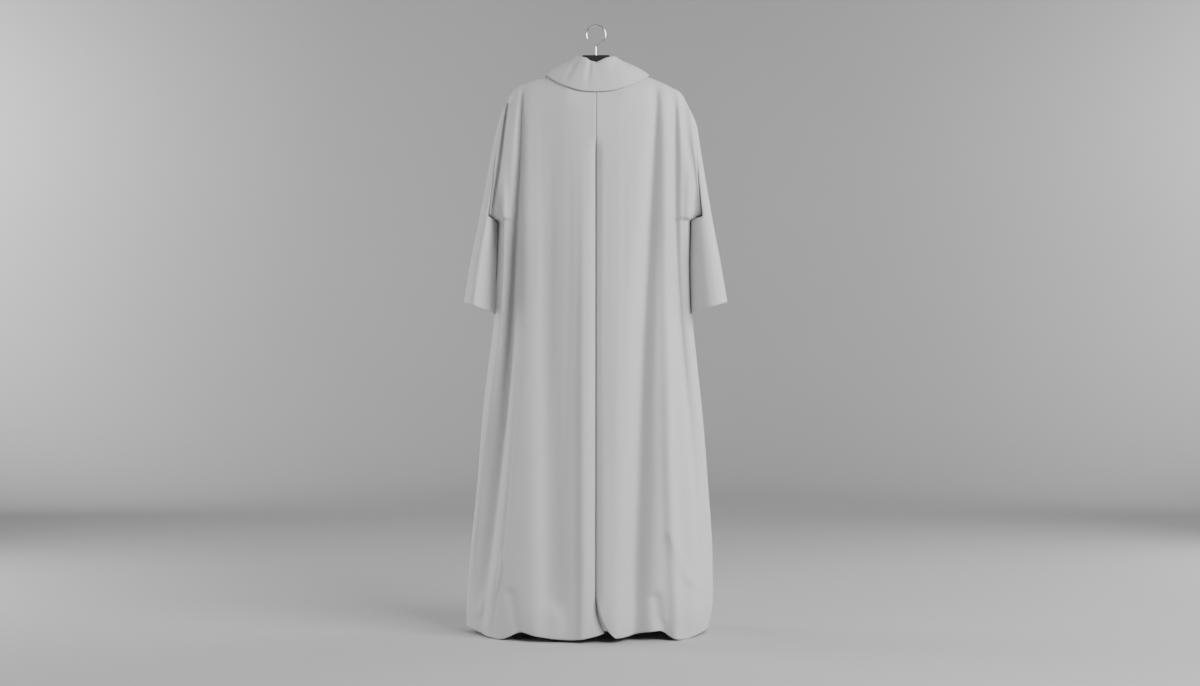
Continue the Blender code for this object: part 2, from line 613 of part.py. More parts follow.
def sleeve_rings(side, rows, points):
    """Rings of a sleeve's outer points, from the armhole down to the cuff."""
    tip = SHOULDERS[side][-1]
    armhole = Cuff(tip.out, tip.down, UNDERARM_OUT[side], UNDERARM_DOWN,
                   ARMHOLE_REACH, ARMHOLE_REACH, 0.0)
    stations = (armhole,) + SLEEVES[side]
    places = np.linspace(0.0, 1.0, len(stations))
    part = np.linspace(0.0, 1.0, rows)
    values = [SmoothLine(places, column).at(part)[:, None] for column in zip(*stations)]
    outer_out, outer_down, inner_out, inner_down, back, front, wrap = values
    settled = smooth_step(part / SLEEVE_SETTLED)[:, None]
    turn = np.linspace(0.0, 2 * math.pi, points, endpoint=False)[None, :]
    share = (1 - np.cos(turn)) / 2
    at_armhole = armhole_reach(share) / ARMHOLE_REACH
    hanging = np.abs(np.sin(math.pi * share ** CREST[side])) ** SLEEVE_ROUNDNESS
    fullness = at_armhole * (1 - settled) + hanging * settled
    reach = np.where(np.sin(turn) > 0, -back, front) * fullness
    out = outer_out + (inner_out - outer_out) * share - wrap * share ** 2 * np.sin(turn) ** 2
    down = outer_down + (inner_down - outer_down) * share
    armhole_out = tip.out + (UNDERARM_OUT[side] - tip.out) * (down - tip.down) / (UNDERARM_DOWN - tip.down)
    below = np.maximum(down - UNDERARM_DOWN - SLEEVE_TUCK_FROM, 0.0)
    started = np.minimum(part / SLEEVE_CLEAR_BY, 1.0)[:, None]
    nearest = armhole_out + SLEEVE_CLEAR * started - SLEEVE_TUCK * below
    out = (out + nearest + np.sqrt((out - nearest) ** 2 + (SLEEVE_BEND * started) ** 2)) / 2
    seam_reach = np.sign(reach) * SEAM / 2
    return np.stack([side * (out + SEAM), reach + seam_reach, -down], axis=2)


def make_sleeve(side):
    """One sleeve, a tube from the armhole to the open cuff."""
    outer = sleeve_rings(side, SLEEVE_ROWS, SLEEVE_POINTS)
    wrapped = np.concatenate([outer[:, -1:], outer, outer[:, :1]], axis=1)
    normals = surface_normals(wrapped)[:, 1:-1]
    centre = outer.mean(axis=1, keepdims=True)
    if np.sum(normals * (outer - centre)) < 0:
        normals = -normals
    keep_in_seam(normals[0], 0)
    inner = outer - CLOTH * normals
    add_wall(f"sleeve_{SIDE_NAMES[side]}", outer, inner, WHITE_CLOTH, closed_ring=True)


def collar_line(column):
    """Smooth line round the neck of one column of the collar's table."""
    return SmoothLine([row.turn for row in COLLAR], [getattr(row, column) for row in COLLAR])


COLLAR_LINES = {column: collar_line(column) for column in CollarStation._fields[1:]}


def cloth_point(side, face, out, down):
    """A point of the body's surface and the direction out of the cloth there."""
    step = 0.001

    def place(out_there, down_there):
        reach = float(cloth_reach(side, face, np.array(out_there), np.array(down_there)))
        return Vector((side * out_there, face * reach, -down_there))

    along = place(out + step, down) - place(out, down)
    below = place(out, down + step) - place(out, down)
    normal = along.cross(below).normalized() * side * face
    return place(out, down), normal


def neck_point(side, face, turn):
    """A point of the neckline, on the straight runs between the panels' own points."""
    knots = np.linspace(0.0, 90.0, NECK_STEPS + 1)
    outs = NECK_HALF_WIDTH * np.sin(np.radians(knots))
    reaches = NECK_REACH[face] * np.clip(1 - (outs / NECK_HALF_WIDTH) ** 2, 0.0, 1.0) ** NECK_ROUNDNESS
    downs = NECK_DOWN[face] + (NECK_POINT_DOWN - NECK_DOWN[face]) * (outs / NECK_HALF_WIDTH) ** 2
    place = turn if face == BACK else 180.0 - turn
    out, reach, down = (np.interp(place, knots, values) for values in (outs, reaches, downs))
    return Vector((side * out, face * reach, -down))


def clear_of_body(side, face, point):
    """The point, moved out where it would lie within the collar's lift of the body."""
    out, down = abs(point.x), -point.z
    if down < float(top_down(side, face, np.array(out))):
        return point
    reach = float(cloth_reach(side, face, np.array(out), np.array(down))) + COLLAR_LIFT
    return Vector((point.x, face * max(face * point.y, reach), point.z))


def collar_profile(turn):
    """Points across the collar at one turn round the neck, from its seam over the fold to its edge.

    The turn is in degrees from the centre of the back, negative on the left.
    """
    side = LEFT if turn < 0 else RIGHT
    turn = abs(turn)
    face = BACK if turn < 90 else FRONT
    values = {column: float(line.at(turn)) for column, line in COLLAR_LINES.items()}
    angle = math.radians(turn)
    outward = Vector((side * math.sin(angle), -math.cos(angle), 0.0))
    up = Vector((0.0, 0.0, 1.0))
    seam = neck_point(side, face, turn)
    base = seam - outward * (COLLAR_CLOTH + SEAM) + up * COLLAR_STAND_GAP
    fold = Vector((side * values["fold_out"], values["fold_reach"], -values["fold_down"]))
    edge_out = values["edge_out"] * COLLAR_SPREAD[side]
    edge_down = max(values["edge_down"], float(SHOULDER_LINES[side].at(edge_out)) + SEAM)
    edge, lift = cloth_point(side, face, edge_out, edge_down)
    edge = edge + lift * COLLAR_LIFT
    inside = fold - outward * COLLAR_FOLD_RADIUS * COLLAR_FOLD_LEAN - up * COLLAR_FOLD_RADIUS
    outside = fold + outward * COLLAR_FOLD_RADIUS - up * COLLAR_FOLD_RADIUS * COLLAR_FOLD_DROP
    proud = (outward + up).normalized()
    fall = outside.lerp(edge, HALF) + proud * COLLAR_BULGE
    falling = [outside.lerp(fall, COLLAR_FALL_START), fall,
               fall.lerp(edge, HALF) + proud * COLLAR_EDGE_BULGE]
    falling = [clear_of_body(side, face, point) for point in falling]
    return [base, base.lerp(inside, HALF), inside, fold, outside, *falling, edge]


def collar_points():
    """The collar's outer points, in rows from its seam to its edge and columns round the neck."""
    turns = np.linspace(-COLLAR_END_TURN, COLLAR_END_TURN, 2 * COLLAR_COLUMNS + 1)
    profiles = [[tuple(point) for point in collar_profile(float(turn))] for turn in turns]
    return np.swapaxes(np.array(profiles), 0, 1)


def make_collar():
    """The collar, a band folded over at its top, open at the centre of the front."""
    outer = collar_points()
    normals = surface_normals(outer)
    keep_in_seam(normals[:, 0], 0)
    keep_in_seam(normals[:, -1], 0)
    if normals[-1, COLLAR_COLUMNS, 1] > 0:
        normals = -normals
    add_wall("collar", outer, outer - COLLAR_CLOTH * normals, WHITE_CLOTH)


def hanger_outline():
    """The hanger's outline, as points in the plane of its arms, all the way round."""
    rounded = HANGER_CORNER * (1 - math.sqrt(HALF))
    right = [Point(HANGER_BLOCK_HALF_WIDTH - HANGER_CORNER, HANGER_TOP_DOWN),
             Point(HANGER_BLOCK_HALF_WIDTH - rounded, HANGER_TOP_DOWN + rounded),
             Point(HANGER_BLOCK_HALF_WIDTH, HANGER_TOP_DOWN + HANGER_CORNER),
             HANGER_ARM_START]
    tops = []
    for out in np.linspace(HANGER_SEAT_OUT, HANGER_TIP_OUT, HANGER_STATIONS):
        shoulder = max(float(SHOULDER_LINES[side].at(out)) for side in (LEFT, RIGHT))
        tops.append(Point(float(out), shoulder + CLOTH + HANGER_CLEAR))
    right.extend(tops)
    for top in reversed(tops):
        along = (top.out - HANGER_SEAT_OUT) / (HANGER_TIP_OUT - HANGER_SEAT_OUT)
        height = HANGER_ARM_HEIGHT + (HANGER_TIP_HEIGHT - HANGER_ARM_HEIGHT) * along
        right.append(Point(top.out - height * HANGER_ARM_SLOPE, top.down + height))
    right.append(Point(HANGER_BLOCK_HALF_WIDTH / 2, HANGER_BLOCK_BOTTOM_DOWN))
    left = [Point(-point.out, point.down) for point in reversed(right)]
    return right + left


def make_hanger():
    """The hanger's block and arms in one piece, with a bore for the shank of its hook."""
    shape = bmesh.new()
    corners = [shape.verts.new((point.out, -HANGER_THICKNESS / 2, -point.down))
               for point in hanger_outline()]
    face = shape.faces.new(corners)
    grown = bmesh.ops.extrude_face_region(shape, geom=[face])
    moved = [item for item in grown["geom"] if isinstance(item, bmesh.types.BMVert)]
    bmesh.ops.translate(shape, verts=moved, vec=(0.0, HANGER_THICKNESS, 0.0))
    bmesh.ops.recalc_face_normals(shape, faces=shape.faces)
    rims = [edge for edge in shape.edges
            if abs(edge.verts[0].co.y - edge.verts[1].co.y) < HANGER_THICKNESS / 2]
    bmesh.ops.bevel(shape, geom=rims, offset=HANGER_BEVEL, segments=2, affect="EDGES")
    mesh = bpy.data.meshes.new("hanger")
    shape.to_mesh(mesh)
    shape.free()
    hanger = add_object("hanger", mesh, BLACK_PLASTIC)
    cutter_mesh = bpy.data.meshes.new("hook_bore")
    cutter_shape = bmesh.new()
    bmesh.ops.create_cone(cutter_shape, cap_ends=True, segments=HOOK_BORE_SIDES,
                          radius1=HOOK_BORE, radius2=HOOK_BORE, depth=2 * HOOK_DEPTH_IN_BLOCK + 2 * SEAM)
    cutter_shape.to_mesh(cutter_mesh)
    cutter_shape.free()
    cutter = bpy.data.objects.new("hook_bore", cutter_mesh)
    cutter.location = (0.0, 0.0, -HANGER_TOP_DOWN)
    cutter.hide_render = True
    cutter.display_type = "WIRE"
    bpy.context.collection.objects.link(cutter)
    bore = hanger.modifiers.new("hook_bore", "BOOLEAN")
    bore.operation = "DIFFERENCE"
    bore.solver = "EXACT"
    bore.object = cutter


def hook_route():
    """Centre line of the hook's wire, from its free end over the top and down into the block."""
    centre_down = HOOK_RADIUS - HOOK_WIRE
    route = []
    for step in range(HOOK_STEPS + 1):
        turn = math.radians(HOOK_OPEN_TURN + (HOOK_END_TURN - HOOK_OPEN_TURN) * step / HOOK_STEPS)
        route.append(Vector((HOOK_RADIUS * math.cos(turn), 0.0,
                             HOOK_RADIUS * math.sin(turn) - centre_down)))
    neck = Vector((0.0, 0.0, -centre_down - HOOK_RADIUS - HOOK_NECK_DROP))
    leaving = route[-1]
    for step in range(1, HOOK_NECK_STEPS):
        part = step / HOOK_NECK_STEPS
        bulge = HOOK_NECK_BULGE * math.sin(math.pi * part)
        route.append(leaving.lerp(neck, part) + Vector((bulge, 0.0, 0.0)))
    route.append(neck)
    route.append(Vector((0.0, 0.0, -HANGER_TOP_DOWN - HOOK_DEPTH_IN_BLOCK)))
    return route


def make_hook():
    """The hook, a round wire bent into an open ring above a straight shank."""
    curve = bpy.data.curves.new("hook", "CURVE")
    curve.dimensions = "3D"
    curve.bevel_depth = HOOK_WIRE
    curve.bevel_resolution = HOOK_SIDES // 4 - 1
    curve.use_fill_caps = True
    spline = curve.splines.new("POLY")
    route = hook_route()
    spline.points.add(len(route) - 1)
    for point, place in zip(spline.points, route):
        point.co = (*place, 1.0)
    hook = bpy.data.objects.new("hook_curve", curve)
    bpy.context.collection.objects.link(hook)
    mesh = bpy.data.meshes.new_from_object(hook.evaluated_get(bpy.context.evaluated_depsgraph_get()))
    bpy.data.objects.remove(hook)
    mesh.name = "hook"
    mesh.materials.clear()
    add_object("hook", mesh, CHROME)


def main():
    """Clear the scene and make every piece of the robe and its hanger."""
    for old in list(bpy.data.objects):
        bpy.data.objects.remove(old)
    for side in (LEFT, RIGHT):
        for face in (BACK, FRONT):
            make_panel(side, face)
        make_sleeve(side)
    make_pleat_underlay()
    make_collar()
    make_hanger()
    make_hook()


main()
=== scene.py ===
"""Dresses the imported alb: its cloth with folds, hems and stitching, its hanger, and a studio.

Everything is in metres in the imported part's own frame. The origin is where the hook rests on a
rail, +Z is up and the back of the robe faces -Y. Heights are given as distances down from the
origin, and widths as distances out from the centre of the robe, as on the part itself.
"""
import math
from collections import namedtuple

import bmesh
import bpy
import numpy as np
from bpy.props import FloatProperty, FloatVectorProperty, IntProperty, PointerProperty
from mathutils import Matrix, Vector


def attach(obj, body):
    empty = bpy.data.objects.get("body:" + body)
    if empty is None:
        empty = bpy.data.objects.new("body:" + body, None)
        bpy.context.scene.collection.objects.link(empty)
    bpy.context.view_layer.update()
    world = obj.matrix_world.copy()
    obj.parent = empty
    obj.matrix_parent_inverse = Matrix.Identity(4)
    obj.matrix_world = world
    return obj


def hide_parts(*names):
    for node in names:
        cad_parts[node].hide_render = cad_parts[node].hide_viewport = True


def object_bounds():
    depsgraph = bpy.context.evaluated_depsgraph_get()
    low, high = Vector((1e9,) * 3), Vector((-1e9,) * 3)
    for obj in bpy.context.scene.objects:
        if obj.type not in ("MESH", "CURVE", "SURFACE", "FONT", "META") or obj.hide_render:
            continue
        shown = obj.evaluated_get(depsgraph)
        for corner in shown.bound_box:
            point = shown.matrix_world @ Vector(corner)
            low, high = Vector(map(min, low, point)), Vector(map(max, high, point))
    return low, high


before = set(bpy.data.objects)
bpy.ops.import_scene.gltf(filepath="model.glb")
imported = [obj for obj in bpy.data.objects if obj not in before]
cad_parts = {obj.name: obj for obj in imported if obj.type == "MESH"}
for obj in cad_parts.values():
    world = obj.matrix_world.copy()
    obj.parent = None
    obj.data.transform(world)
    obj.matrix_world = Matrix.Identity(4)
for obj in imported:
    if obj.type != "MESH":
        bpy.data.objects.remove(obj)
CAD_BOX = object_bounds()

bl_info = {
    "name": "Hanging Alb",
    "version": (1, 0, 0),
    "blender": (4, 5, 0),
    "location": "3D View > Sidebar > Alb",
    "description": "Makes the cloth, hanger and studio of an alb that hangs on a wire hook",
    "category": "Object",
}

LEFT, RIGHT = -1, 1
BACK, FRONT = -1, 1
SIDES = (LEFT, RIGHT)
SIDE_NAMES = {LEFT: "left", RIGHT: "right"}
FACE_NAMES = {BACK: "back", FRONT: "front"}
ROOT = "root"
HALF = 0.5
LEAST_LENGTH = 1e-6
LEAST_AREA = 1e-12

Point = namedtuple("Point", "out down")

# Neck, shoulders and armholes.
NECK_HALF_WIDTH = 0.072
NECK_POINT_DOWN = 0.113
NECK_REACH = {BACK: 0.052, FRONT: 0.066}
NECK_DOWN = {BACK: 0.133, FRONT: 0.190}
NECK_ROUNDNESS = 0.7
SHOULDER_FALL = 0.11
SHOULDER_FULLNESS = 0.5
NECK_FULLNESS = 0.35
ARMHOLE_REACH = 0.042
ARMHOLE_FULLNESS = 5
UNDERARM_DOWN = 0.490
UNDERARM_FOLD = 0.014
UNDERARM_EASE = 0.13
SEAM_FULLNESS = 14
SHOULDERS = {
    LEFT: (Point(0.072, 0.113), Point(0.128, 0.131), Point(0.175, 0.145),
           Point(0.212, 0.166), Point(0.2345, 0.205)),
    RIGHT: (Point(0.072, 0.113), Point(0.141, 0.1335), Point(0.192, 0.1565),
            Point(0.221, 0.176), Point(0.2405, 0.213)),
}
UNDERARM_OUT = {LEFT: 0.2735, RIGHT: 0.2700}

# The body's cross-sections: half widths to the side seams, and reach to the back and to the front.
Section = namedtuple("Section", "down left right back front")
BODY = (
    Section(0.130, 0.235, 0.240, 0.074, 0.062),
    Section(0.180, 0.235, 0.240, 0.088, 0.074),
    Section(0.250, 0.240, 0.243, 0.096, 0.083),
    Section(0.490, 0.249, 0.243, 0.104, 0.095),
    Section(0.600, 0.254, 0.244, 0.109, 0.099),
    Section(0.750, 0.261, 0.248, 0.117, 0.106),
    Section(0.860, 0.275, 0.259, 0.123, 0.111),
    Section(0.980, 0.289, 0.272, 0.130, 0.117),
    Section(1.166, 0.304, 0.287, 0.142, 0.128),
    Section(1.387, 0.325, 0.300, 0.158, 0.142),
    Section(1.505, 0.332, 0.297, 0.166, 0.149),
    Section(1.552, 0.331, 0.286, 0.168, 0.152),
)
SECTION_FULLNESS = 2.4
SECTION_ROUNDNESS = 0.6
EDGE_FULLNESS = 8
UNDERARM_SHARPNESS = 14

# The pleat at the centre of the back.
PLEAT_TOP_DOWN = 0.286
PLEAT_HALF_GAP = 0.0012
PLEAT_ROLL = 0.007
PLEAT_ROLL_WIDTH = 0.010
PLEAT_ROLL_START = 0.05
CORNER_START_DOWN = 1.43
CORNER_OUT = 0.083
CORNER_HEIGHT = 0.125
FLARE_START_DOWN = 1.45
FLARE_OUT = 0.022
FLARE_HEIGHT = 0.085
UNDERLAY_HALF_WIDTH = 0.044
UNDERLAY_TOP_DOWN = 0.262
UNDERLAY_HEM_LIFT = 0.012
UNDERLAY_SEAT = 0.0012
UNDERLAY_BULGE = 0.0110
UNDERLAY_FULLNESS = 4
UNDERLAY_TOP_RUN = 0.06
UNDERLAY_ROWS = 200
UNDERLAY_COLUMNS = 33

# Folds run down the cloth. Each has its distance out and its depth at every fold level, and a half
# width on the side of it towards the centre and on the other, at every level or for all of them.
# A ridge has a negative depth. Sharpness is the power by which the sides of a fold fall away.
FOLD_LEVELS = (0.21, 0.35, 0.49, 0.78, 1.15, 1.40, 1.55)
Fold = namedtuple("Fold", "name out depth inner outer sharpness", defaults=(2.0,))
FOLDS = {
    (LEFT, BACK): (
        Fold("blade trough", (0.128, 0.126, 0.124, 0.121, 0.118, 0.116, 0.116),
             (0.004, 0.008, 0.012, 0.016, 0.018, 0.017, 0.011), 0.055, 0.032),
        Fold("pleat ridge", (0.032, 0.032, 0.032, 0.033, 0.033, 0.033, 0.033),
             (0.000, 0.000, -0.002, -0.006, -0.008, -0.008, -0.005), 0.0210, 0.0100),
        Fold("side groove", (0.188, 0.193, 0.202, 0.219, 0.242, 0.272, 0.292),
             (0.016, 0.024, 0.033, 0.041, 0.044, 0.038, 0.014),
             (0.007, 0.009, 0.012, 0.015, 0.011, 0.011, 0.012),
             (0.007, 0.010, 0.012, 0.015, 0.040, 0.040, 0.030), 1.8),
        Fold("thin groove", (0.180, 0.181, 0.184, 0.192, 0.217, 0.242, 0.262),
             (0.000, 0.000, 0.000, 0.002, 0.005, 0.004, 0.002), 0.0050, 0.0050),
        Fold("edge ridge", (0.236, 0.236, 0.234, 0.246, 0.295, 0.315, 0.315),
             (0.000, 0.000, -0.014, -0.014, -0.004, -0.003, 0.000), 0.0100, 0.0120),
    ),
    (RIGHT, BACK): (
        Fold("panel ridge", (0.070, 0.066, 0.062, 0.058, 0.052, 0.048, 0.048),
             (-0.001, -0.002, -0.002, -0.003, -0.004, -0.004, -0.003), 0.050, 0.040),
        Fold("side groove", (0.153, 0.147, 0.139, 0.123, 0.108, 0.098, 0.094),
             (0.012, 0.020, 0.026, 0.034, 0.044, 0.044, 0.038),
             (0.014, 0.018, 0.020, 0.024, 0.026, 0.026, 0.026),
             (0.010, 0.013, 0.016, 0.021, 0.028, 0.031, 0.034), 1.8),
        Fold("side ridge", (0.174, 0.176, 0.177, 0.180, 0.186, 0.196, 0.202),
             (-0.004, -0.006, -0.008, -0.010, -0.012, -0.012, -0.010), 0.016, 0.016),
        Fold("outer groove", (0.200, 0.202, 0.202, 0.215, 0.250, 0.262, 0.270),
             (0.014, 0.017, 0.018, 0.016, 0.006, 0.003, 0.000), 0.0100, 0.0085),
        Fold("edge ridge", (0.236, 0.236, 0.235, 0.240, 0.277, 0.290, 0.280),
             (0.000, 0.000, -0.010, -0.012, -0.006, -0.003, 0.000), 0.0100, 0.0110),
    ),
    (LEFT, FRONT): (
        Fold("front trough", (0.110, 0.106, 0.104, 0.104, 0.108, 0.114, 0.118),
             (0.001, 0.004, 0.007, 0.011, 0.015, 0.018, 0.020), 0.026, 0.030),
        Fold("side groove", (0.188, 0.192, 0.196, 0.208, 0.226, 0.240, 0.250),
             (0.008, 0.016, 0.024, 0.034, 0.038, 0.034, 0.024), 0.016, 0.018),
    ),
    (RIGHT, FRONT): (
        Fold("front trough", (0.096, 0.092, 0.090, 0.088, 0.084, 0.084, 0.088),
             (0.001, 0.003, 0.006, 0.009, 0.012, 0.016, 0.018), 0.024, 0.030),
        Fold("side groove", (0.180, 0.180, 0.182, 0.190, 0.204, 0.214, 0.222),
             (0.008, 0.012, 0.018, 0.026, 0.030, 0.030, 0.024), 0.017, 0.018),
    ),
}
FOLD_SIDE_FADE = 0.05
FOLD_TOP_FADE = 0.06
ARM_CREASE_TOP = 0.02

# Creases beside the armholes, between the body's cloth and the sleeve's.
ARM_LEVELS = (0.215, 0.300, 0.400, 0.475, 0.498)
ARM_CREASES = {
    (LEFT, BACK): Fold("arm crease", (0.2290, 0.2385, 0.2520, 0.2660, 0.2690),
                       (0.016, 0.019, 0.019, 0.014, 0.006), 0.0055, 0.0120),
    (RIGHT, BACK): Fold("arm crease", (0.2250, 0.2330, 0.2510, 0.2600, 0.2640),
                        (0.006, 0.009, 0.006, 0.002, 0.000), 0.0100, 0.0120),
    (LEFT, FRONT): Fold("arm crease", (0.2270, 0.2385, 0.2530, 0.2640, 0.2660),
                        (0.004, 0.010, 0.012, 0.008, 0.002), 0.0070, 0.0100),
    (RIGHT, FRONT): Fold("arm crease", (0.2280, 0.2385, 0.2540, 0.2630, 0.2650),
                         (0.004, 0.009, 0.010, 0.006, 0.002), 0.0070, 0.0100),
}
ARM_CREASE_EDGE = 0.007

# Soft bulges where the hem meets the floor and the cloth buckles.
Buckle = namedtuple("Buckle", "name out down half_width half_height bulge sharpness")
BUCKLES = {
    (LEFT, BACK): (Buckle("hem bulge", 0.130, 1.512, 0.050, 0.056, 0.010, 2.4),),
    (RIGHT, BACK): (
        Buckle("lapped corner", 0.055, 1.500, 0.045, 0.060, 0.008, 1.0),
        Buckle("side bulge", 0.240, 1.490, 0.040, 0.075, 0.012, 1.0),
    ),
    (LEFT, FRONT): (Buckle("hem bulge", 0.165, 1.520, 0.045, 0.050, 0.010, 1.5),),
    (RIGHT, FRONT): (Buckle("hem bulge", 0.150, 1.510, 0.045, 0.055, 0.010, 1.5),),
}

# Short creases across the cloth, each along a line of points. A ridge has a negative depth.
Crease = namedtuple("Crease", "name points depth width")
CREASES = {
    (LEFT, BACK): (
        Crease("left lobe fold", (Point(0.243, 1.36), Point(0.262, 1.43), Point(0.296, 1.495)),
               -0.007, 0.012),
        Crease("notch fold", (Point(0.186, 1.548), Point(0.198, 1.500), Point(0.212, 1.440)),
               0.006, 0.014),
    ),
    (RIGHT, BACK): (
        Crease("lobe fold", (Point(0.186, 1.290), Point(0.225, 1.395), Point(0.262, 1.430)),
               -0.005, 0.012),
        Crease("notch fold", (Point(0.172, 1.545), Point(0.156, 1.500), Point(0.150, 1.450)),
               0.008, 0.014),
    ),
    (LEFT, FRONT): (),
    (RIGHT, FRONT): (),
}

# Fine ripples that run down the cloth, sway from side to side and come and go.
Ripple = namedtuple("Ripple", "wavelength depth drift phase")
RIPPLES = (
    Ripple(0.0130, 0.00010, 0.35, 0.4),
    Ripple(0.0230, 0.00022, 0.20, 2.1),
    Ripple(0.0470, 0.00050, 0.12, 4.0),
    Ripple(0.0810, 0.00060, 0.30, 1.3),
)
RIPPLE_GROWTH = 0.45
RIPPLE_SWAY_RATE = 5.0
RIPPLE_SWELL_RATE = 2.3
RIPPLE_SWELL_ACROSS = 11.0
RIPPLE_SWELL_PHASE = 3

# The hem, as its height at points out from the centre.
HEMS = {
    (LEFT, BACK): (Point(-0.022, 1.532), Point(0.010, 1.541), Point(0.052, 1.548),
                   Point(0.150, 1.540), Point(0.184, 1.533), Point(0.238, 1.554),
                   Point(0.290, 1.549), Point(0.331, 1.541)),
    (RIGHT, BACK): (Point(0.083, 1.543), Point(0.134, 1.532), Point(0.166, 1.532),
                    Point(0.186, 1.546), Point(0.218, 1.555), Point(0.250, 1.553),
                    Point(0.286, 1.548)),
    (LEFT, FRONT): (Point(0.000, 1.546), Point(0.060, 1.552), Point(0.120, 1.541),
                    Point(0.180, 1.553), Point(0.240, 1.538), Point(0.290, 1.548),
                    Point(0.331, 1.541)),
    (RIGHT, FRONT): (Point(0.000, 1.546), Point(0.050, 1.551), Point(0.100, 1.540),
                     Point(0.160, 1.554), Point(0.214, 1.537), Point(0.250, 1.551),
                     Point(0.286, 1.548)),
}
SIDE_HEM = {LEFT: 1.541, RIGHT: 1.548}
HEM_DEPTH = 0.026
HEM_RAISE = 0.0003
HEM_RAISE_RUN = 0.003
TIP_LEVEL = 0.209
LEVEL_FROM = 0.42
LEVEL_TO = 1.20

# Rows of points down a panel: how many lie between one height along the side seam and the next.
Rows = namedtuple("Rows", "to_down count")
BACK_ROWS = (Rows(0.300, 20), Rows(0.470, 34), Rows(0.520, 26), Rows(0.800, 44),
             Rows(1.380, 70), Rows(1.545, 42))
FRONT_ROWS = (Rows(0.300, 16), Rows(0.470, 24), Rows(0.520, 18), Rows(0.800, 30),
              Rows(1.380, 48), Rows(1.545, 30))
COLUMN_CROWDING = 0.42
FRONT_COLUMNS_FEWER = 14

# The sleeves, from the armhole to the cuff: where the outer and inner lines are, where the cloth
# folds in on the body's side, and how far it reaches to the back and to the front.
Cuff = namedtuple("Cuff", "outer_out outer_down inner_out inner_down fold_out back front")
SLEEVES = {
    LEFT: (
        Cuff(0.2520, 0.255, 0.2600, 0.4990, 0.2600, 0.038, 0.044),
        Cuff(0.2665, 0.320, 0.2460, 0.5120, 0.2450, 0.041, 0.050),
        Cuff(0.2820, 0.405, 0.2475, 0.5400, 0.2460, 0.049, 0.058),
        Cuff(0.3020, 0.507, 0.2505, 0.5930, 0.2490, 0.061, 0.068),
        Cuff(0.3220, 0.607, 0.2575, 0.6640, 0.2550, 0.074, 0.078),
        Cuff(0.3385, 0.709, 0.2650, 0.7420, 0.2590, 0.084, 0.085),
    ),
    RIGHT: (
        Cuff(0.2580, 0.255, 0.2570, 0.4990, 0.2560, 0.040, 0.044),
        Cuff(0.2690, 0.320, 0.2420, 0.5120, 0.2400, 0.044, 0.050),
        Cuff(0.2830, 0.405, 0.2425, 0.5400, 0.2390, 0.053, 0.058),
        Cuff(0.3010, 0.507, 0.2430, 0.5930, 0.2395, 0.062, 0.068),
        Cuff(0.3200, 0.607, 0.2460, 0.6640, 0.2405, 0.070, 0.078),
        Cuff(0.3375, 0.709, 0.2550, 0.7420, 0.2435, 0.076, 0.085),
    ),
}
# How far a sleeve stands off across it, as a share of its reach, from its outer line to its fold.
SleeveShape = namedtuple("SleeveShape", "across height")
SLEEVE_SHAPES = {
    LEFT: (SleeveShape(0.00, 0.00), SleeveShape(0.04, 0.42), SleeveShape(0.14, 0.72),
           SleeveShape(0.28, 0.95), SleeveShape(0.40, 1.00), SleeveShape(0.52, 0.86),
           SleeveShape(0.66, 0.42), SleeveShape(0.82, 0.14), SleeveShape(1.00, 0.03)),
    RIGHT: (SleeveShape(0.00, 0.00), SleeveShape(0.04, 0.45), SleeveShape(0.12, 0.74),
            SleeveShape(0.28, 0.96), SleeveShape(0.42, 1.00), SleeveShape(0.60, 0.93),
            SleeveShape(0.80, 0.66), SleeveShape(1.00, 0.26)),
}
SLEEVE_LAP = 0.86
SLEEVE_SETTLED = 0.4
UNDERARM_HASTE = 0.88
BODY_CLEAR = 0.0004
BODY_CLEAR_SPREAD = 0.020
BODY_PIVOT = 0.06
BODY_SPAN = 0.10
BODY_SAMPLES = 48
BODY_CLEAR_RUN = 0.014
SLEEVE_CLEAR = 0.0010
SLEEVE_CLEAR_BY = 0.06
SLEEVE_BEND = 0.003
SLEEVE_TUCK = 5.0
SLEEVE_TUCK_FROM = 0.003
SLEEVE_ROWS = 110
SLEEVE_COLUMNS = 112
CUFF_DEPTH = 0.024

# The collar, from the centre of the back round to the centre of the front.
CollarStation = namedtuple(
    "CollarStation", "turn fold_out fold_reach fold_down edge_out edge_down")
COLLAR = (
    CollarStation(0, 0.0000, -0.0600, 0.1030, 0.000, 0.1825),
    CollarStation(25, 0.0250, -0.0570, 0.0910, 0.044, 0.1785),
    CollarStation(50, 0.0440, -0.0420, 0.0845, 0.088, 0.1620),
    CollarStation(75, 0.0555, -0.0150, 0.0840, 0.123, 0.1390),
    CollarStation(90, 0.0575, 0.0010, 0.0860, 0.132, 0.1305),
    CollarStation(105, 0.0570, 0.0170, 0.0930, 0.129, 0.1490),
    CollarStation(130, 0.0470, 0.0430, 0.1130, 0.104, 0.2000),
    CollarStation(155, 0.0280, 0.0640, 0.1360, 0.058, 0.2430),
    CollarStation(180, 0.0000, 0.0740, 0.1560, 0.000, 0.2620),
)
COLLAR_SPREAD = {LEFT: 0.97, RIGHT: 1.05}
COLLAR_END_TURN = 179.2
COLLAR_LIFT = 0.0046
COLLAR_FOLD_RADIUS = 0.0034
COLLAR_FOLD_LEAN = 0.6
COLLAR_FOLD_DROP = 0.8
COLLAR_FALL_START = 0.55
COLLAR_BULGE = 0.004
COLLAR_EDGE_BULGE = 0.0012
COLLAR_STAND_GAP = 0.0007
COLLAR_TURNS = 150
COLLAR_ACROSS = 40
COLLAR_CREASE_LENGTH = 0.3
NORMAL_STEP = 0.001
CollarCrease = namedtuple("CollarCrease", "name turn along depth width")
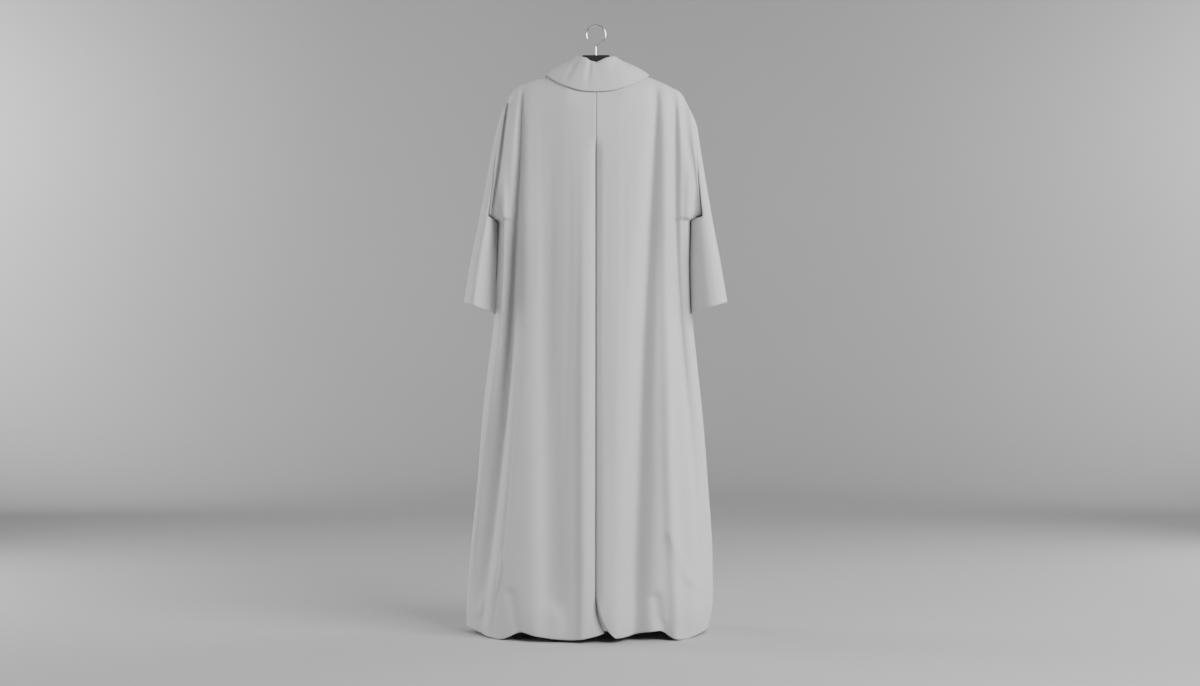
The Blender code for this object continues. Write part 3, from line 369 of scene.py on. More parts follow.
COLLAR_CREASES = (
    CollarCrease("left dent", -46.0, 0.60, 0.0046, 6.0),
    CollarCrease("middle dent", -13.0, 0.52, 0.0034, 5.0),
    CollarCrease("right dent", 34.0, 0.70, 0.0012, 9.0),
)

# A stitch: how thick its thread is along it, as (share of its length, share of the full radius).
STITCH_PROFILE = ((0.0, 0.25), (0.12, 0.8), (0.5, 1.0), (0.88, 0.8), (1.0, 0.25))
STITCH_CORNERS = 6
STITCH_PATH_COLUMNS = 120

# The looks: fine noise over each surface, how far it raises the surface, and the tones it gives,
# each as (place on the ramp, lightness of the colour there).
Noise = namedtuple("Noise", "scale detail roughness", defaults=(0.5,))
Bump = namedtuple("Bump", "strength height")
SLUBS_ACROSS = (40.0, 900.0, 1.0)
SLUBS_DOWN = (900.0, 30.0, 1.0)
SLUB_NOISE = Noise(1.0, 3.0)
SLUB_BUMP = Bump(0.30, 0.00025)
SLUB_SHARE = 0.3
MOTTLE_NOISE = Noise(9.0, 4.0, 0.6)
MOTTLE_BUMP = Bump(0.25, 0.0030)
MOTTLE_SHARE = 0.4
WEAVE_BUMP = Bump(0.45, 0.00012)
CLOTH_TONES = ((0.25, 0.955), (0.50, 1.0), (0.75, 1.035))
CLOTH_ROUGHER = (-0.06, 0.06)
TWIST_SCALE = 1400.0
TWIST_BUMP = Bump(0.4, 0.00008)
THREAD_TONES = ((0.2, 0.92), (0.8, 1.04))
GRAIN_NOISE = Noise(1500.0, 2.0)
GRAIN_BUMP = Bump(0.25, 0.0001)
RUBBED_NOISE = Noise(22.0, 4.0, 0.6)
PLASTIC_TONES = ((0.35, 0.8), (0.70, 1.5))
PLASTIC_ROUGHER = (-0.10, 0.12)
SMUDGE_NOISE = Noise(60.0, 4.0, 0.6)
DRAWN_NOISE = Noise(900.0, 2.0)
DRAWN_BUMP = Bump(0.08, 0.00005)
CHROME_TONES = ((0.3, 0.9), (0.7, 1.0))
CHROME_ROUGHER = (0.0, 0.12)
CLOUDY_NOISE = Noise(0.8, 3.0)
FIBRE_NOISE = Noise(260.0, 3.0)
FIBRE_BUMP = Bump(0.08, 0.0004)
PAPER_TONES = ((0.3, 0.985), (0.7, 1.015))

# The studio.
PAPER_RADIUS = 4.0
PAPER_SWEEP = 1.4
PAPER_HEIGHT = 5.5
PAPER_RINGS = 16
PAPER_AROUND = 96
PAPER_WELD = 0.0001
FLOOR_GAP = 0.0005
SENSOR_WIDTH = 36.0

# The soft lights: where each is and points, its width and height, and its share of a power.
Light = namedtuple("Light", "name place target size power share")
ROBE_MIDDLE = (0.0, 0.0, -0.85)
ROBE_UPPER = (0.0, 0.0, -0.55)
LIGHTS = (
    Light("key_light", (2.34, -2.99, 1.1), ROBE_UPPER, (1.6, 2.0), "key_power", 1.0),
    Light("cross_light", (3.0, -1.6, 0.9), ROBE_UPPER, (1.4, 2.0), "cross_power", 1.0),
    Light("fill_light", (-3.03, -1.75, 0.5), ROBE_MIDDLE, (1.4, 2.0), "fill_power", 1.0),
    Light("side_light_left", (-2.80, 0.70, -0.2), ROBE_MIDDLE, (1.0, 2.2), "side_power", 1.5),
    Light("wall_light_left", (-3.0, 3.1, 0.3), (-2.9, 5.2, 0.1), (1.2, 1.2), "wall_power", 1.35),
    Light("side_light_right", (2.63, 1.23, -0.2), ROBE_MIDDLE, (1.0, 2.2), "side_power", 0.9),
    Light("wall_light_right", (3.0, 3.1, 0.3), (2.9, 5.2, 0.1), (1.2, 1.2), "wall_power", 0.85),
)


class SmoothLine:
    """Smooth line through a value at each rising place, held level beyond its ends."""

    def __init__(self, places, values):
        self.places = np.array(places, dtype=float)
        self.values = np.array(values, dtype=float)
        self.slopes = np.gradient(self.values, self.places)

    def at(self, place):
        """Value at a place, or at each of an array of places."""
        place = np.clip(place, self.places[0], self.places[-1])
        before = np.clip(np.searchsorted(self.places, place, "right") - 1, 0, len(self.places) - 2)
        span = self.places[before + 1] - self.places[before]
        part = (place - self.places[before]) / span
        start = (1 + 2 * part) * (1 - part) ** 2 * self.values[before]
        end = part ** 2 * (3 - 2 * part) * self.values[before + 1]
        leaving = part * (1 - part) ** 2 * span * self.slopes[before]
        arriving = part ** 2 * (part - 1) * span * self.slopes[before + 1]
        return start + end + leaving + arriving


def smooth_step(part):
    """Ease from 0 to 1 as the part goes from 0 to 1."""
    part = np.clip(part, 0.0, 1.0)
    return part ** 2 * (3 - 2 * part)


def table_line(table, place, column):
    """Smooth line along one column of a table, by another of its columns."""
    places = [getattr(row, place) for row in table]
    return SmoothLine(places, [getattr(row, column) for row in table])


HALF_WIDTH_LINES = {side: table_line(BODY, "down", SIDE_NAMES[side]) for side in SIDES}
REACH_LINES = {face: table_line(BODY, "down", FACE_NAMES[face]) for face in FACE_NAMES}
SHOULDER_LINES = {side: table_line(SHOULDERS[side], "out", "down") for side in SIDES}
HEM_LINES = {panel: table_line(HEMS[panel], "out", "down") for panel in HEMS}
COLLAR_LINES = {column: table_line(COLLAR, "turn", column)
                for column in CollarStation._fields[1:]}


def armhole_share(side, down):
    """How far down the armhole a height is, from 0 at the shoulder's tip to 1 at the underarm."""
    tip = SHOULDERS[side][-1]
    return np.clip((down - tip.down) / (UNDERARM_DOWN - tip.down), 0.0, 1.0)


def armhole_reach(share):
    """Reach of the armhole's edge: round at its top, and fuller towards the underarm."""
    from_middle = np.abs(2 * share - 1)
    power = np.where(share < HALF, 2.0, ARMHOLE_FULLNESS)
    return ARMHOLE_REACH * (1 - from_middle ** power) ** (1 / power)


def side_out(side, down, fold=UNDERARM_FOLD):
    """Distance out to the armhole's edge, and below the underarm to the side seam.

    The fold is the height over which one goes over to the other.
    """
    tip = SHOULDERS[side][-1]
    armhole = tip.out + armhole_share(side, down) * (UNDERARM_OUT[side] - tip.out)
    folded = smooth_step((down - UNDERARM_DOWN) / fold)
    return armhole * (1 - folded) + HALF_WIDTH_LINES[side].at(down) * folded


def top_down(side, face, out):
    """Height of a panel's top edge, which is the neckline and then the shoulder seam."""
    part = np.clip(np.abs(out) / NECK_HALF_WIDTH, 0.0, 1.0)
    neckline = NECK_DOWN[face] + (NECK_POINT_DOWN - NECK_DOWN[face]) * part ** 2
    return np.where(np.abs(out) < NECK_HALF_WIDTH, neckline, SHOULDER_LINES[side].at(out))


def fold_depth(fold, levels, out, down):
    """Depth of one fold that runs down the cloth."""
    past = out - SmoothLine(levels, fold.out).at(down)
    inner, outer = (SmoothLine(levels, np.broadcast_to(width, len(levels))).at(down)
                    for width in (fold.inner, fold.outer))
    width = np.where(past < 0, inner, outer)
    share = np.exp(-np.abs(past / width) ** fold.sharpness)
    return SmoothLine(levels, fold.depth).at(down) * share


def crease_depth(crease, out, down):
    """Depth of a short crease, by the distance to the nearest place on its line of points."""
    nearest = np.full_like(out, np.inf)
    for start, end in zip(crease.points, crease.points[1:]):
        along = (end.out - start.out, end.down - start.down)
        length = math.hypot(*along)
        part = ((out - start.out) * along[0] + (down - start.down) * along[1]) / length ** 2
        part = np.clip(part, 0.0, 1.0)
        away = np.hypot(out - start.out - part * along[0], down - start.down - part * along[1])
        nearest = np.minimum(nearest, away)
    return crease.depth * np.exp(-(nearest / crease.width) ** 2)


def ripple_depth(side, out, down):
    """Depth of the fine ripples, which grow from the neck down to the waist."""
    grown = smooth_step((down - NECK_POINT_DOWN) / RIPPLE_GROWTH)
    depth = np.zeros_like(out)
    for ripple in RIPPLES:
        sway = ripple.drift * ripple.wavelength * np.sin(down * RIPPLE_SWAY_RATE + ripple.phase)
        turn = 2 * math.pi * (side * out + sway) / ripple.wavelength
        swell = HALF + HALF * np.sin(down * RIPPLE_SWELL_RATE + ripple.phase * RIPPLE_SWELL_PHASE
                                     + out * RIPPLE_SWELL_ACROSS)
        depth = depth + ripple.depth * swell * np.sin(turn + ripple.phase)
    return depth * grown


def cloth_reach(side, face, out, down):
    """Distance of a panel's outer surface from the plane of the side seams."""
    top = top_down(side, face, out)
    drop = np.maximum(down - top, 0.0)
    across = np.clip(np.abs(out) / side_out(side, down), 0.0, 1.0)
    rounded = np.clip(np.abs(out) / side_out(side, down, UNDERARM_EASE), 0.0, 1.0)
    near_neck = np.clip(1 - (np.abs(out) / NECK_HALF_WIDTH) ** 2, 0.0, 1.0)
    rounding = (1 - (1 - np.clip(drop / SHOULDER_FALL, 0.0, 1.0)) ** 2) ** (
        SHOULDER_FULLNESS + NECK_FULLNESS * near_neck)
    neckline = NECK_REACH[face] * near_neck ** NECK_ROUNDNESS
    middle = REACH_LINES[face].at(down) * (1 - rounded ** SECTION_FULLNESS) ** SECTION_ROUNDNESS
    below = smooth_step((down - UNDERARM_DOWN) / UNDERARM_FOLD)
    middle = middle * (1 - below * (1 - np.sqrt(1 - across ** SEAM_FULLNESS)))
    share = armhole_share(side, down)
    armhole = armhole_reach(share) * across ** (EDGE_FULLNESS + UNDERARM_SHARPNESS * share ** 4)
    reach = neckline * (1 - rounding) + middle * rounding + armhole
    panel = (side, face)
    fade = smooth_step((1 - across) / FOLD_SIDE_FADE) * smooth_step(drop / FOLD_TOP_FADE)
    for fold in FOLDS[panel]:
        reach = reach - fold_depth(fold, FOLD_LEVELS, out, down) * fade
    for buckle in BUCKLES[panel]:
        spread = ((out - buckle.out) / buckle.half_width) ** 2
        rise = ((down - buckle.down) / buckle.half_height) ** 2
        reach = reach + buckle.bulge * np.exp(-(spread + rise) ** buckle.sharpness) * fade
    for crease in CREASES[panel]:
        reach = reach - crease_depth(crease, out, down) * fade
    reach = reach - ripple_depth(side, out, down) * fade
    arm = ARM_CREASES[panel]
    above_underarm = 1 - smooth_step((down - UNDERARM_DOWN) / UNDERARM_FOLD)
    from_edge = smooth_step((side_out(side, down) - out) / ARM_CREASE_EDGE)
    top_fade = smooth_step(drop / ARM_CREASE_TOP)
    return reach - fold_depth(arm, ARM_LEVELS, out, down) * above_underarm * from_edge * top_fade


def pleat_roll(side, past_edge, down):
    """How far an edge of the pleat rolls in, from the top of the opening down.

    The right edge lies flat again where it rounds off to the hem.
    """
    opened = smooth_step((down - PLEAT_TOP_DOWN) / PLEAT_ROLL_START)
    if side == RIGHT:
        opened = opened * (1 - smooth_step((down - CORNER_START_DOWN) / PLEAT_ROLL_START))
    return PLEAT_ROLL * opened * np.exp(-(np.maximum(past_edge, 0.0) / PLEAT_ROLL_WIDTH) ** 2)


def centre_out(side, face, down):
    """Distance out to a panel's centre edge, open at the pleat and rounded off at the hem."""
    edge = np.zeros_like(down)
    if face == FRONT:
        return edge
    edge = edge + PLEAT_HALF_GAP * smooth_step((down - PLEAT_TOP_DOWN) / PLEAT_ROLL_START)
    if side == RIGHT:
        fallen = np.clip((down - CORNER_START_DOWN) / CORNER_HEIGHT, 0.0, 1.0)
        return edge + CORNER_OUT * (1 - np.sqrt(1 - fallen ** 2))
    fallen = np.clip((down - FLARE_START_DOWN) / FLARE_HEIGHT, 0.0, 1.0)
    return edge - FLARE_OUT * fallen ** 2


def row_levels(rows):
    """Heights of a panel's rows before they follow the shoulder and the hem."""
    levels = [TIP_LEVEL]
    for span in rows:
        levels.extend(np.linspace(levels[-1], span.to_down, span.count + 1)[1:])
    return np.array(levels)


def panel_points(side, face, rows, columns):
    """The outer points of a panel, in rows down from its top edge and columns out to its side.

    The rows follow the shoulder and the hem, and lie level from the underarm to the knee.
    """
    levels = row_levels(rows)
    part = np.linspace(0.0, 1.0, columns)
    part = part + COLUMN_CROWDING * np.sin(math.pi * part) / math.pi
    shoulder = 1 - smooth_step((levels - levels[0]) / (LEVEL_FROM - levels[0]))
    hem = smooth_step((levels - LEVEL_TO) / (levels[-1] - LEVEL_TO))
    seam = levels + shoulder * (SHOULDERS[side][-1].down - levels[0])
    seam = seam + hem * (SIDE_HEM[side] - levels[-1])
    middle = levels + shoulder * (NECK_DOWN[face] - levels[0])
    middle = middle + hem * (HEM_LINES[side, face].at(0.0) - levels[-1])
    centre = centre_out(side, face, middle)
    out = centre[:, None] + (side_out(side, seam) - centre)[:, None] * part[None, :]
    top = top_down(side, face, out[0]) - levels[0]
    bottom = HEM_LINES[side, face].at(out[-1]) - levels[-1]
    down = levels[:, None] + shoulder[:, None] * top + hem[:, None] * bottom
    reach = cloth_reach(side, face, out, down)
    turned = smooth_step((down - (down[-1] - HEM_DEPTH)) / HEM_RAISE_RUN)
    reach = reach + HEM_RAISE * turned
    if face == BACK:
        reach = reach - pleat_roll(side, out - centre_out(side, face, down), down)
    return np.stack([side * out, face * reach, -down], axis=2)


def surface_normals(points):
    """Unit normals of a grid of points, by its rows and columns."""
    normals = np.cross(np.gradient(points, axis=1), np.gradient(points, axis=0))
    return normals / np.maximum(np.linalg.norm(normals, axis=2, keepdims=True), LEAST_AREA)


def run_lengths(points, axis):
    """Distance along the cloth to each point of a grid, along its rows or its columns."""
    steps = np.linalg.norm(np.diff(points, axis=axis), axis=2)
    return np.insert(np.cumsum(steps, axis=axis), 0, 0.0, axis=axis)


def line_lengths(points):
    """Distance along a line of points to each of them."""
    return np.insert(np.cumsum(np.linalg.norm(np.diff(points, axis=0), axis=1)), 0, 0.0)


def grid_faces(rows, columns, ring, first=0, split=None):
    """Four-sided faces between a grid's points, closed round in a ring and open at a split."""
    faces = []
    for row in range(rows - 1):
        above = first + row * columns
        below = above + columns
        for column in range(columns if ring else columns - 1):
            if column != split:
                beside = (column + 1) % columns
                faces.append((above + column, above + beside, below + beside, below + column))
    return faces


def weld(mesh, distance):
    """Join the points of a mesh that lie within a distance of each other."""
    shape = bmesh.new()
    shape.from_mesh(mesh)
    bmesh.ops.remove_doubles(shape, verts=shape.verts, dist=distance)
    shape.to_mesh(mesh)
    shape.free()


def new_object(name, data):
    """An object in the scene that shows this data."""
    made = bpy.data.objects.new(name, data)
    bpy.context.collection.objects.link(made)
    return made


def make_cloth(name, points, thickness, material, outward, ring=False, split=None):
    """A piece of cloth through a grid of points, with its thickness on its inner side.

    The UV map holds distances along the cloth in metres, for the weave. A split is the column at
    which the cloth parts, as it does down a pleat. Where its two edges meet, they are joined.
    """
    rows, columns = points.shape[:2]
    across = run_lengths(points, 1)
    along = run_lengths(points, 0)
    across = across - across[:, columns // 2][:, None]
    vertices = points.reshape(-1, 3)
    faces = np.array(grid_faces(rows, columns, ring, split=split))
    middle = points[:-1, :-1].reshape(-1, 3)
    facing = surface_normals(points)[:-1, :-1].reshape(-1, 3)
    if np.sum(facing * outward(middle)) < 0:
        faces = faces[:, ::-1]
    mesh = bpy.data.meshes.new(name)
    mesh.from_pydata(vertices.tolist(), [], faces.tolist())
    layer = mesh.uv_layers.new(name="cloth")
    places = np.stack([across, along], axis=2).reshape(-1, 2)
    corners = places[faces.reshape(-1)]
    if ring:
        girth = across.max() + across[0, 1] - across[0, 0]
        widths = corners[:, 0].reshape(-1, 4)
        widths[:] = np.where(widths.max(axis=1, keepdims=True) - widths > girth / 2,
                             widths + 2 * girth, widths)
    layer.data.foreach_set("uv", corners.astype(np.float32).ravel())
    if split is not None:
        weld(mesh, LEAST_LENGTH)
    mesh.materials.append(material)
    mesh.shade_smooth()
    piece = new_object(name, mesh)
    wall = piece.modifiers.new("thickness", "SOLIDIFY")
    wall.thickness = thickness
    wall.offset = -1.0
    wall.thickness_clamp = 1.0
    return piece


def away_from_axis(places):
    """Directions out from the vertical line through the origin."""
    return places * np.array((1.0, 1.0, 0.0))


def towards(direction):
    """A constant outward direction for a piece of cloth that faces one way."""
    return lambda places: np.broadcast_to(np.array(direction, dtype=float), places.shape)


def hang_cloth(piece, node_names):
    """Tie a piece of cloth to the part it stands for, and hide that part."""
    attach(piece, ROOT)
    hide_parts(*node_names)


def beside_body(side, out, reach, down, clear):
    """Points below the underarm, moved out where they would lie within a distance of the body.

    They move away from an upright line inside the body, near its side.
    """
    below = smooth_step((down - UNDERARM_DOWN) / BODY_CLEAR_RUN)
    beside = np.nonzero((out < side_out(side, down) + BODY_CLEAR_RUN) & (below > 0))
    high = down[beside]
    edge = side_out(side, high)
    middle = edge - BODY_PIVOT
    away, stand = out[beside] - middle, reach[beside]
    radius = np.hypot(away, stand)
    angle = np.arctan2(np.abs(stand), away)
    outs = (edge - BODY_SPAN)[:, None] + BODY_SPAN * np.linspace(0.0, 1.0, BODY_SAMPLES) ** HALF
    body = np.zeros_like(radius)
    for face in (BACK, FRONT):
        reaches = cloth_reach(side, face, outs, np.broadcast_to(high[:, None], outs.shape))
        angles = np.arctan2(reaches, outs - middle[:, None])
        radii = np.hypot(reaches, outs - middle[:, None])
        first = np.clip((angles > angle[:, None]).sum(axis=1) - 1, 0, BODY_SAMPLES - 2)
        each = np.arange(len(first))
        span = np.maximum(angles[each, first] - angles[each, first + 1], LEAST_LENGTH)
        part = np.clip((angles[each, first] - angle) / span, 0.0, 1.0)
        met = radii[each, first] * (1 - part) + radii[each, first + 1] * part
        body = np.where(np.sign(stand) == face, met, body)
    wanted = body + clear[beside]
    pushed = (radius + wanted + np.sqrt((radius - wanted) ** 2 + SLEEVE_BEND ** 2)) / 2
    factor = 1 + (pushed / np.maximum(radius, LEAST_LENGTH) - 1) * below[beside]
    out, reach = out.copy(), reach.copy()
    out[beside] = middle + away * factor
    reach[beside] = stand * factor
    return out, reach


def sleeve_points(side):
    """Rings of a sleeve's outer points, from the armhole down to the cuff."""
    tip = SHOULDERS[side][-1]
    armhole = Cuff(tip.out, tip.down, UNDERARM_OUT[side], UNDERARM_DOWN, UNDERARM_OUT[side],
                   ARMHOLE_REACH, ARMHOLE_REACH)
    stations = (armhole,) + SLEEVES[side]
    places = np.linspace(0.0, 1.0, len(stations))
    part = np.linspace(0.0, 1.0, SLEEVE_ROWS)
    values = [SmoothLine(places, column).at(part)[:, None] for column in zip(*stations)]
    outer_out, outer_down, inner_out, inner_down, fold_out, back, front = values
    turn = np.linspace(0.0, 2 * math.pi, SLEEVE_COLUMNS, endpoint=False)[None, :]
    share = (1 - np.cos(turn)) / 2
    settled = smooth_step(part[:, None] / (SLEEVE_SETTLED * (1 - UNDERARM_HASTE * share ** 4)))
    across = np.minimum(share / SLEEVE_LAP, 1.0)
    under = smooth_step((share - SLEEVE_LAP) / (1 - SLEEVE_LAP))
    at_armhole = armhole_reach(share) / ARMHOLE_REACH
    hanging = table_line(SLEEVE_SHAPES[side], "across", "height").at(across) * (1 - under)
    fullness = at_armhole * (1 - settled) + hanging * settled
    reach = np.where(np.sin(turn) > 0, -back, front) * fullness
    lapped = outer_out + (fold_out - outer_out) * across + (inner_out - fold_out) * under
    straight = outer_out + (inner_out - outer_out) * share
    out = straight * (1 - settled) + lapped * settled
    down = outer_down + (inner_down - outer_down) * share
    slant = (UNDERARM_OUT[side] - tip.out) * (down - tip.down) / (UNDERARM_DOWN - tip.down)
    armhole_out = tip.out + slant
    below = np.maximum(down - UNDERARM_DOWN - SLEEVE_TUCK_FROM, 0.0)
    started = np.minimum(part / SLEEVE_CLEAR_BY, 1.0)[:, None]
    nearest = armhole_out + SLEEVE_CLEAR * started - SLEEVE_TUCK * below
    out = (out + nearest + np.sqrt((out - nearest) ** 2 + (SLEEVE_BEND * started) ** 2)) / 2
    clear = np.broadcast_to(BODY_CLEAR + BODY_CLEAR_SPREAD * (1 - share) ** 2, out.shape)
    out, reach = beside_body(side, out, reach, down, clear)
    return np.stack([side * out, reach, -down], axis=2)


def neck_point(side, face, turn):
    """A point of the neckline."""
    place = math.radians(turn if face == BACK else 180.0 - turn)
    part = math.sin(place)
    reach = NECK_REACH[face] * (1 - part ** 2) ** NECK_ROUNDNESS
    down = NECK_DOWN[face] + (NECK_POINT_DOWN - NECK_DOWN[face]) * part ** 2
    return Vector((side * NECK_HALF_WIDTH * part, face * reach, -down))


def cloth_point(side, face, out, down):
    """A point of the body's surface and the direction out of the cloth there."""
    def place(out_there, down_there):
        reach = float(cloth_reach(side, face, np.array(out_there), np.array(down_there)))
        return Vector((side * out_there, face * reach, -down_there))

    along = place(out + NORMAL_STEP, down) - place(out, down)
    below = place(out, down + NORMAL_STEP) - place(out, down)
    return place(out, down), along.cross(below).normalized() * side * face


def clear_of_body(side, face, point):
    """The point, moved out where it would lie within the collar's lift of the body."""
    out, down = abs(point.x), -point.z
    if down < float(top_down(side, face, np.array(out))):
        return point
    reach = float(cloth_reach(side, face, np.array(out), np.array(down))) + COLLAR_LIFT
    return Vector((point.x, face * max(face * point.y, reach), point.z))


def collar_profile(turn):
    """Points across the collar at one turn round the neck, from its seam to its free edge.

    The turn is in degrees from the centre of the back, negative on the left.
    """
    side = LEFT if turn < 0 else RIGHT
    turn = abs(turn)
    face = BACK if turn < 90 else FRONT
    values = {column: float(line.at(turn)) for column, line in COLLAR_LINES.items()}
    angle = math.radians(turn)
    outward = Vector((side * math.sin(angle), -math.cos(angle), 0.0))
    up = Vector((0.0, 0.0, 1.0))
    seam = neck_point(side, face, turn)
    base = seam - outward * COLLAR_FOLD_RADIUS * HALF + up * COLLAR_STAND_GAP
    fold = Vector((side * values["fold_out"], values["fold_reach"], -values["fold_down"]))
    edge_out = values["edge_out"] * COLLAR_SPREAD[side]
    edge_down = max(values["edge_down"], float(SHOULDER_LINES[side].at(edge_out)))
    edge, lift = cloth_point(side, face, edge_out, edge_down)
    edge = edge + lift * COLLAR_LIFT
    inside = fold - outward * COLLAR_FOLD_RADIUS * COLLAR_FOLD_LEAN - up * COLLAR_FOLD_RADIUS
    outside = fold + outward * COLLAR_FOLD_RADIUS - up * COLLAR_FOLD_RADIUS * COLLAR_FOLD_DROP
    proud = (outward + up).normalized()
    fall = outside.lerp(edge, HALF) + proud * COLLAR_BULGE
    falling = [outside.lerp(fall, COLLAR_FALL_START), fall,
               fall.lerp(edge, HALF) + proud * COLLAR_EDGE_BULGE]
    falling = [clear_of_body(side, face, point) for point in falling]
    return [base, base.lerp(inside, HALF), inside, fold, outside, *falling, edge]


def collar_points():
    """The collar's outer points, in rows from its seam to its edge and columns round the neck."""
    turns = np.linspace(-COLLAR_END_TURN, COLLAR_END_TURN, 2 * COLLAR_TURNS + 1)
    across = np.linspace(0.0, 1.0, COLLAR_ACROSS)
    columns = []
    for turn in turns:
        knots = np.array([tuple(point) for point in collar_profile(float(turn))])
        lengths = line_lengths(knots)
        lines = [SmoothLine(lengths / lengths[-1], knots[:, axis]) for axis in range(3)]
        columns.append(np.stack([line.at(across) for line in lines], axis=1))
    points = np.swapaxes(np.array(columns), 0, 1)
    normals = surface_normals(points)
    if normals[-1, COLLAR_TURNS, 1] > 0:
        normals = -normals
    for crease in COLLAR_CREASES:
        beside = np.exp(-((turns - crease.turn) / crease.width) ** 2)[None, :]
        along = np.exp(-((across - crease.along) / COLLAR_CREASE_LENGTH) ** 2)[:, None]
        points = points - normals * (crease.depth * beside * along)[:, :, None]
    return points


def underlay_points(settings):
    """The points of the cloth behind the pleat's opening."""
    outs = np.linspace(-UNDERLAY_HALF_WIDTH, UNDERLAY_HALF_WIDTH, UNDERLAY_COLUMNS)
    levels = np.linspace(UNDERLAY_TOP_DOWN, SIDE_HEM[LEFT], UNDERLAY_ROWS)
    hem = HEM_LINES[LEFT, BACK].at(np.maximum(-outs, 0.0)) - UNDERLAY_HEM_LIFT - levels[-1]
    fall = smooth_step((levels - LEVEL_TO) / (levels[-1] - LEVEL_TO))
    down = levels[:, None] + fall[:, None] * hem[None, :]
    out = np.broadcast_to(outs, down.shape)
    left = cloth_reach(LEFT, BACK, np.maximum(-out, 0.0), down)
    right = cloth_reach(RIGHT, BACK, np.maximum(out, 0.0), down)
    middle = 1 - (np.abs(out) / UNDERLAY_HALF_WIDTH) ** UNDERLAY_FULLNESS
    opened = smooth_step((down - UNDERLAY_TOP_DOWN) / UNDERLAY_TOP_RUN)
    inset = settings.thickness + UNDERLAY_SEAT + UNDERLAY_BULGE * middle * opened
    reach = np.where(out < 0, left, right) - inset
    return np.stack([out, -reach, -down], axis=2)


def stitch_mesh(name, path, normals, settings, material):
    """Short raised stitches along a path on the cloth, with a gap after each."""
    path = np.array(path, dtype=float)
    normals = np.array(normals, dtype=float)
    lengths = line_lengths(path)
    count = int(lengths[-1] / settings.stitch_length)
    pitch = lengths[-1] / count
    vertices = []
    faces = []
    span = pitch * settings.stitch_fill
    for number in range(count):
        start = number * pitch + (pitch - span) / 2
        ends = [np.array([np.interp(start + share * span, lengths, path[:, axis])
                          for axis in range(3)]) for share in (0.0, 1.0)]
        lift = np.array([np.interp(start, lengths, normals[:, axis]) for axis in range(3)])
        along = (ends[1] - ends[0]) / np.linalg.norm(ends[1] - ends[0])
        lift = lift - along * np.dot(lift, along)
        lift = lift / np.linalg.norm(lift)
        beside = np.cross(along, lift)
        first = len(vertices)
        for share, size in STITCH_PROFILE:
            sunk = settings.stitch_radius * (size - HALF)
            centre = ends[0] + (ends[1] - ends[0]) * share + lift * sunk
            for corner in range(STITCH_CORNERS):
                angle = 2 * math.pi * corner / STITCH_CORNERS
                ray = beside * math.cos(angle) + lift * math.sin(angle)
                vertices.append(tuple(centre + ray * settings.stitch_radius * size))
        faces.extend(grid_faces(len(STITCH_PROFILE), STITCH_CORNERS, True, first))
        faces.append(tuple(first + corner for corner in reversed(range(STITCH_CORNERS))))
        last = first + (len(STITCH_PROFILE) - 1) * STITCH_CORNERS
        faces.append(tuple(last + corner for corner in range(STITCH_CORNERS)))
    mesh = bpy.data.meshes.new(name)
    mesh.from_pydata(vertices, [], faces)
    mesh.materials.append(material)
    mesh.shade_smooth()
    piece = new_object(name, mesh)
    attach(piece, ROOT)
    return piece


def hem_stitch_path(side, face):
    """Points and normals along a panel's hem, at the top of its turned edge."""
    rows = BACK_ROWS if face == BACK else FRONT_ROWS
    points = panel_points(side, face, rows, STITCH_PATH_COLUMNS)
    heights = run_lengths(points[::-1], 0)[::-1]
    normals = surface_normals(points) * side * face
    path = []
    facing = []
    for column in range(1, points.shape[1] - 1):
        row = int(np.argmin(np.abs(heights[:, column] - HEM_DEPTH)))
        path.append(points[row, column])
        facing.append(normals[row, column])
    path = np.array(path)
    smoothed = path.copy()
    smoothed[2:-2] = (path[:-4] + path[1:-3] + path[2:-2] + path[3:-1] + path[4:]) / 5
    return smoothed, np.array(facing)


def new_material(name):
    """A material with a Principled shader, and that shader, its nodes and its links."""
    material = bpy.data.materials.new(name)
    material.use_nodes = True
    nodes = material.node_tree.nodes
    return material, nodes["Principled BSDF"], nodes, material.node_tree.links


def math_node(nodes, links, operation, first, second=None):
    """A Math node of one operation on links or constants, and its output."""
    node = nodes.new("ShaderNodeMath")
    node.operation = operation
    for socket, value in zip(node.inputs, (first, second)):
        if isinstance(value, bpy.types.NodeSocket):
            links.new(value, socket)
        elif value is not None:
            socket.default_value = value
    return node.outputs[0]


def noise_node(nodes, links, vector, noise):
    """A Noise texture on a vector, and its factor."""
    node = nodes.new("ShaderNodeTexNoise")
    node.inputs["Scale"].default_value = noise.scale
    node.inputs["Detail"].default_value = noise.detail
    node.inputs["Roughness"].default_value = noise.roughness
    links.new(vector, node.inputs["Vector"])
    return node.outputs["Fac"]


def stretched(nodes, links, vector, scale):
    """A vector scaled differently along each axis."""
    node = nodes.new("ShaderNodeMapping")
    node.inputs["Scale"].default_value = scale
    links.new(vector, node.inputs["Vector"])
    return node.outputs["Vector"]


def shaded(colour, amount):
    """A colour made lighter or darker by an amount."""
    return tuple(min(1.0, channel * amount) for channel in colour)


def colour_by(nodes, links, shader, factor, colour, tones):
    """Shade a surface in tones of one colour, by a factor over it."""
    node = nodes.new("ShaderNodeValToRGB")
    elements = node.color_ramp.elements
    while len(elements) < len(tones):
        elements.new(HALF)
    for element, (position, amount) in zip(elements, tones):
        element.position = position
        element.color = (*shaded(colour, amount), 1.0)
    links.new(factor, node.inputs["Fac"])
    links.new(node.outputs["Color"], shader.inputs["Base Color"])


def roughen_by(nodes, links, shader, factor, roughness, rougher):
    """Make a surface duller by a factor over it, between two amounts more than its roughness."""
    node = nodes.new("ShaderNodeMapRange")
    node.inputs["To Min"].default_value = roughness + rougher[0]
    node.inputs["To Max"].default_value = roughness + rougher[1]
    links.new(factor, node.inputs["Value"])
    links.new(node.outputs["Result"], shader.inputs["Roughness"])


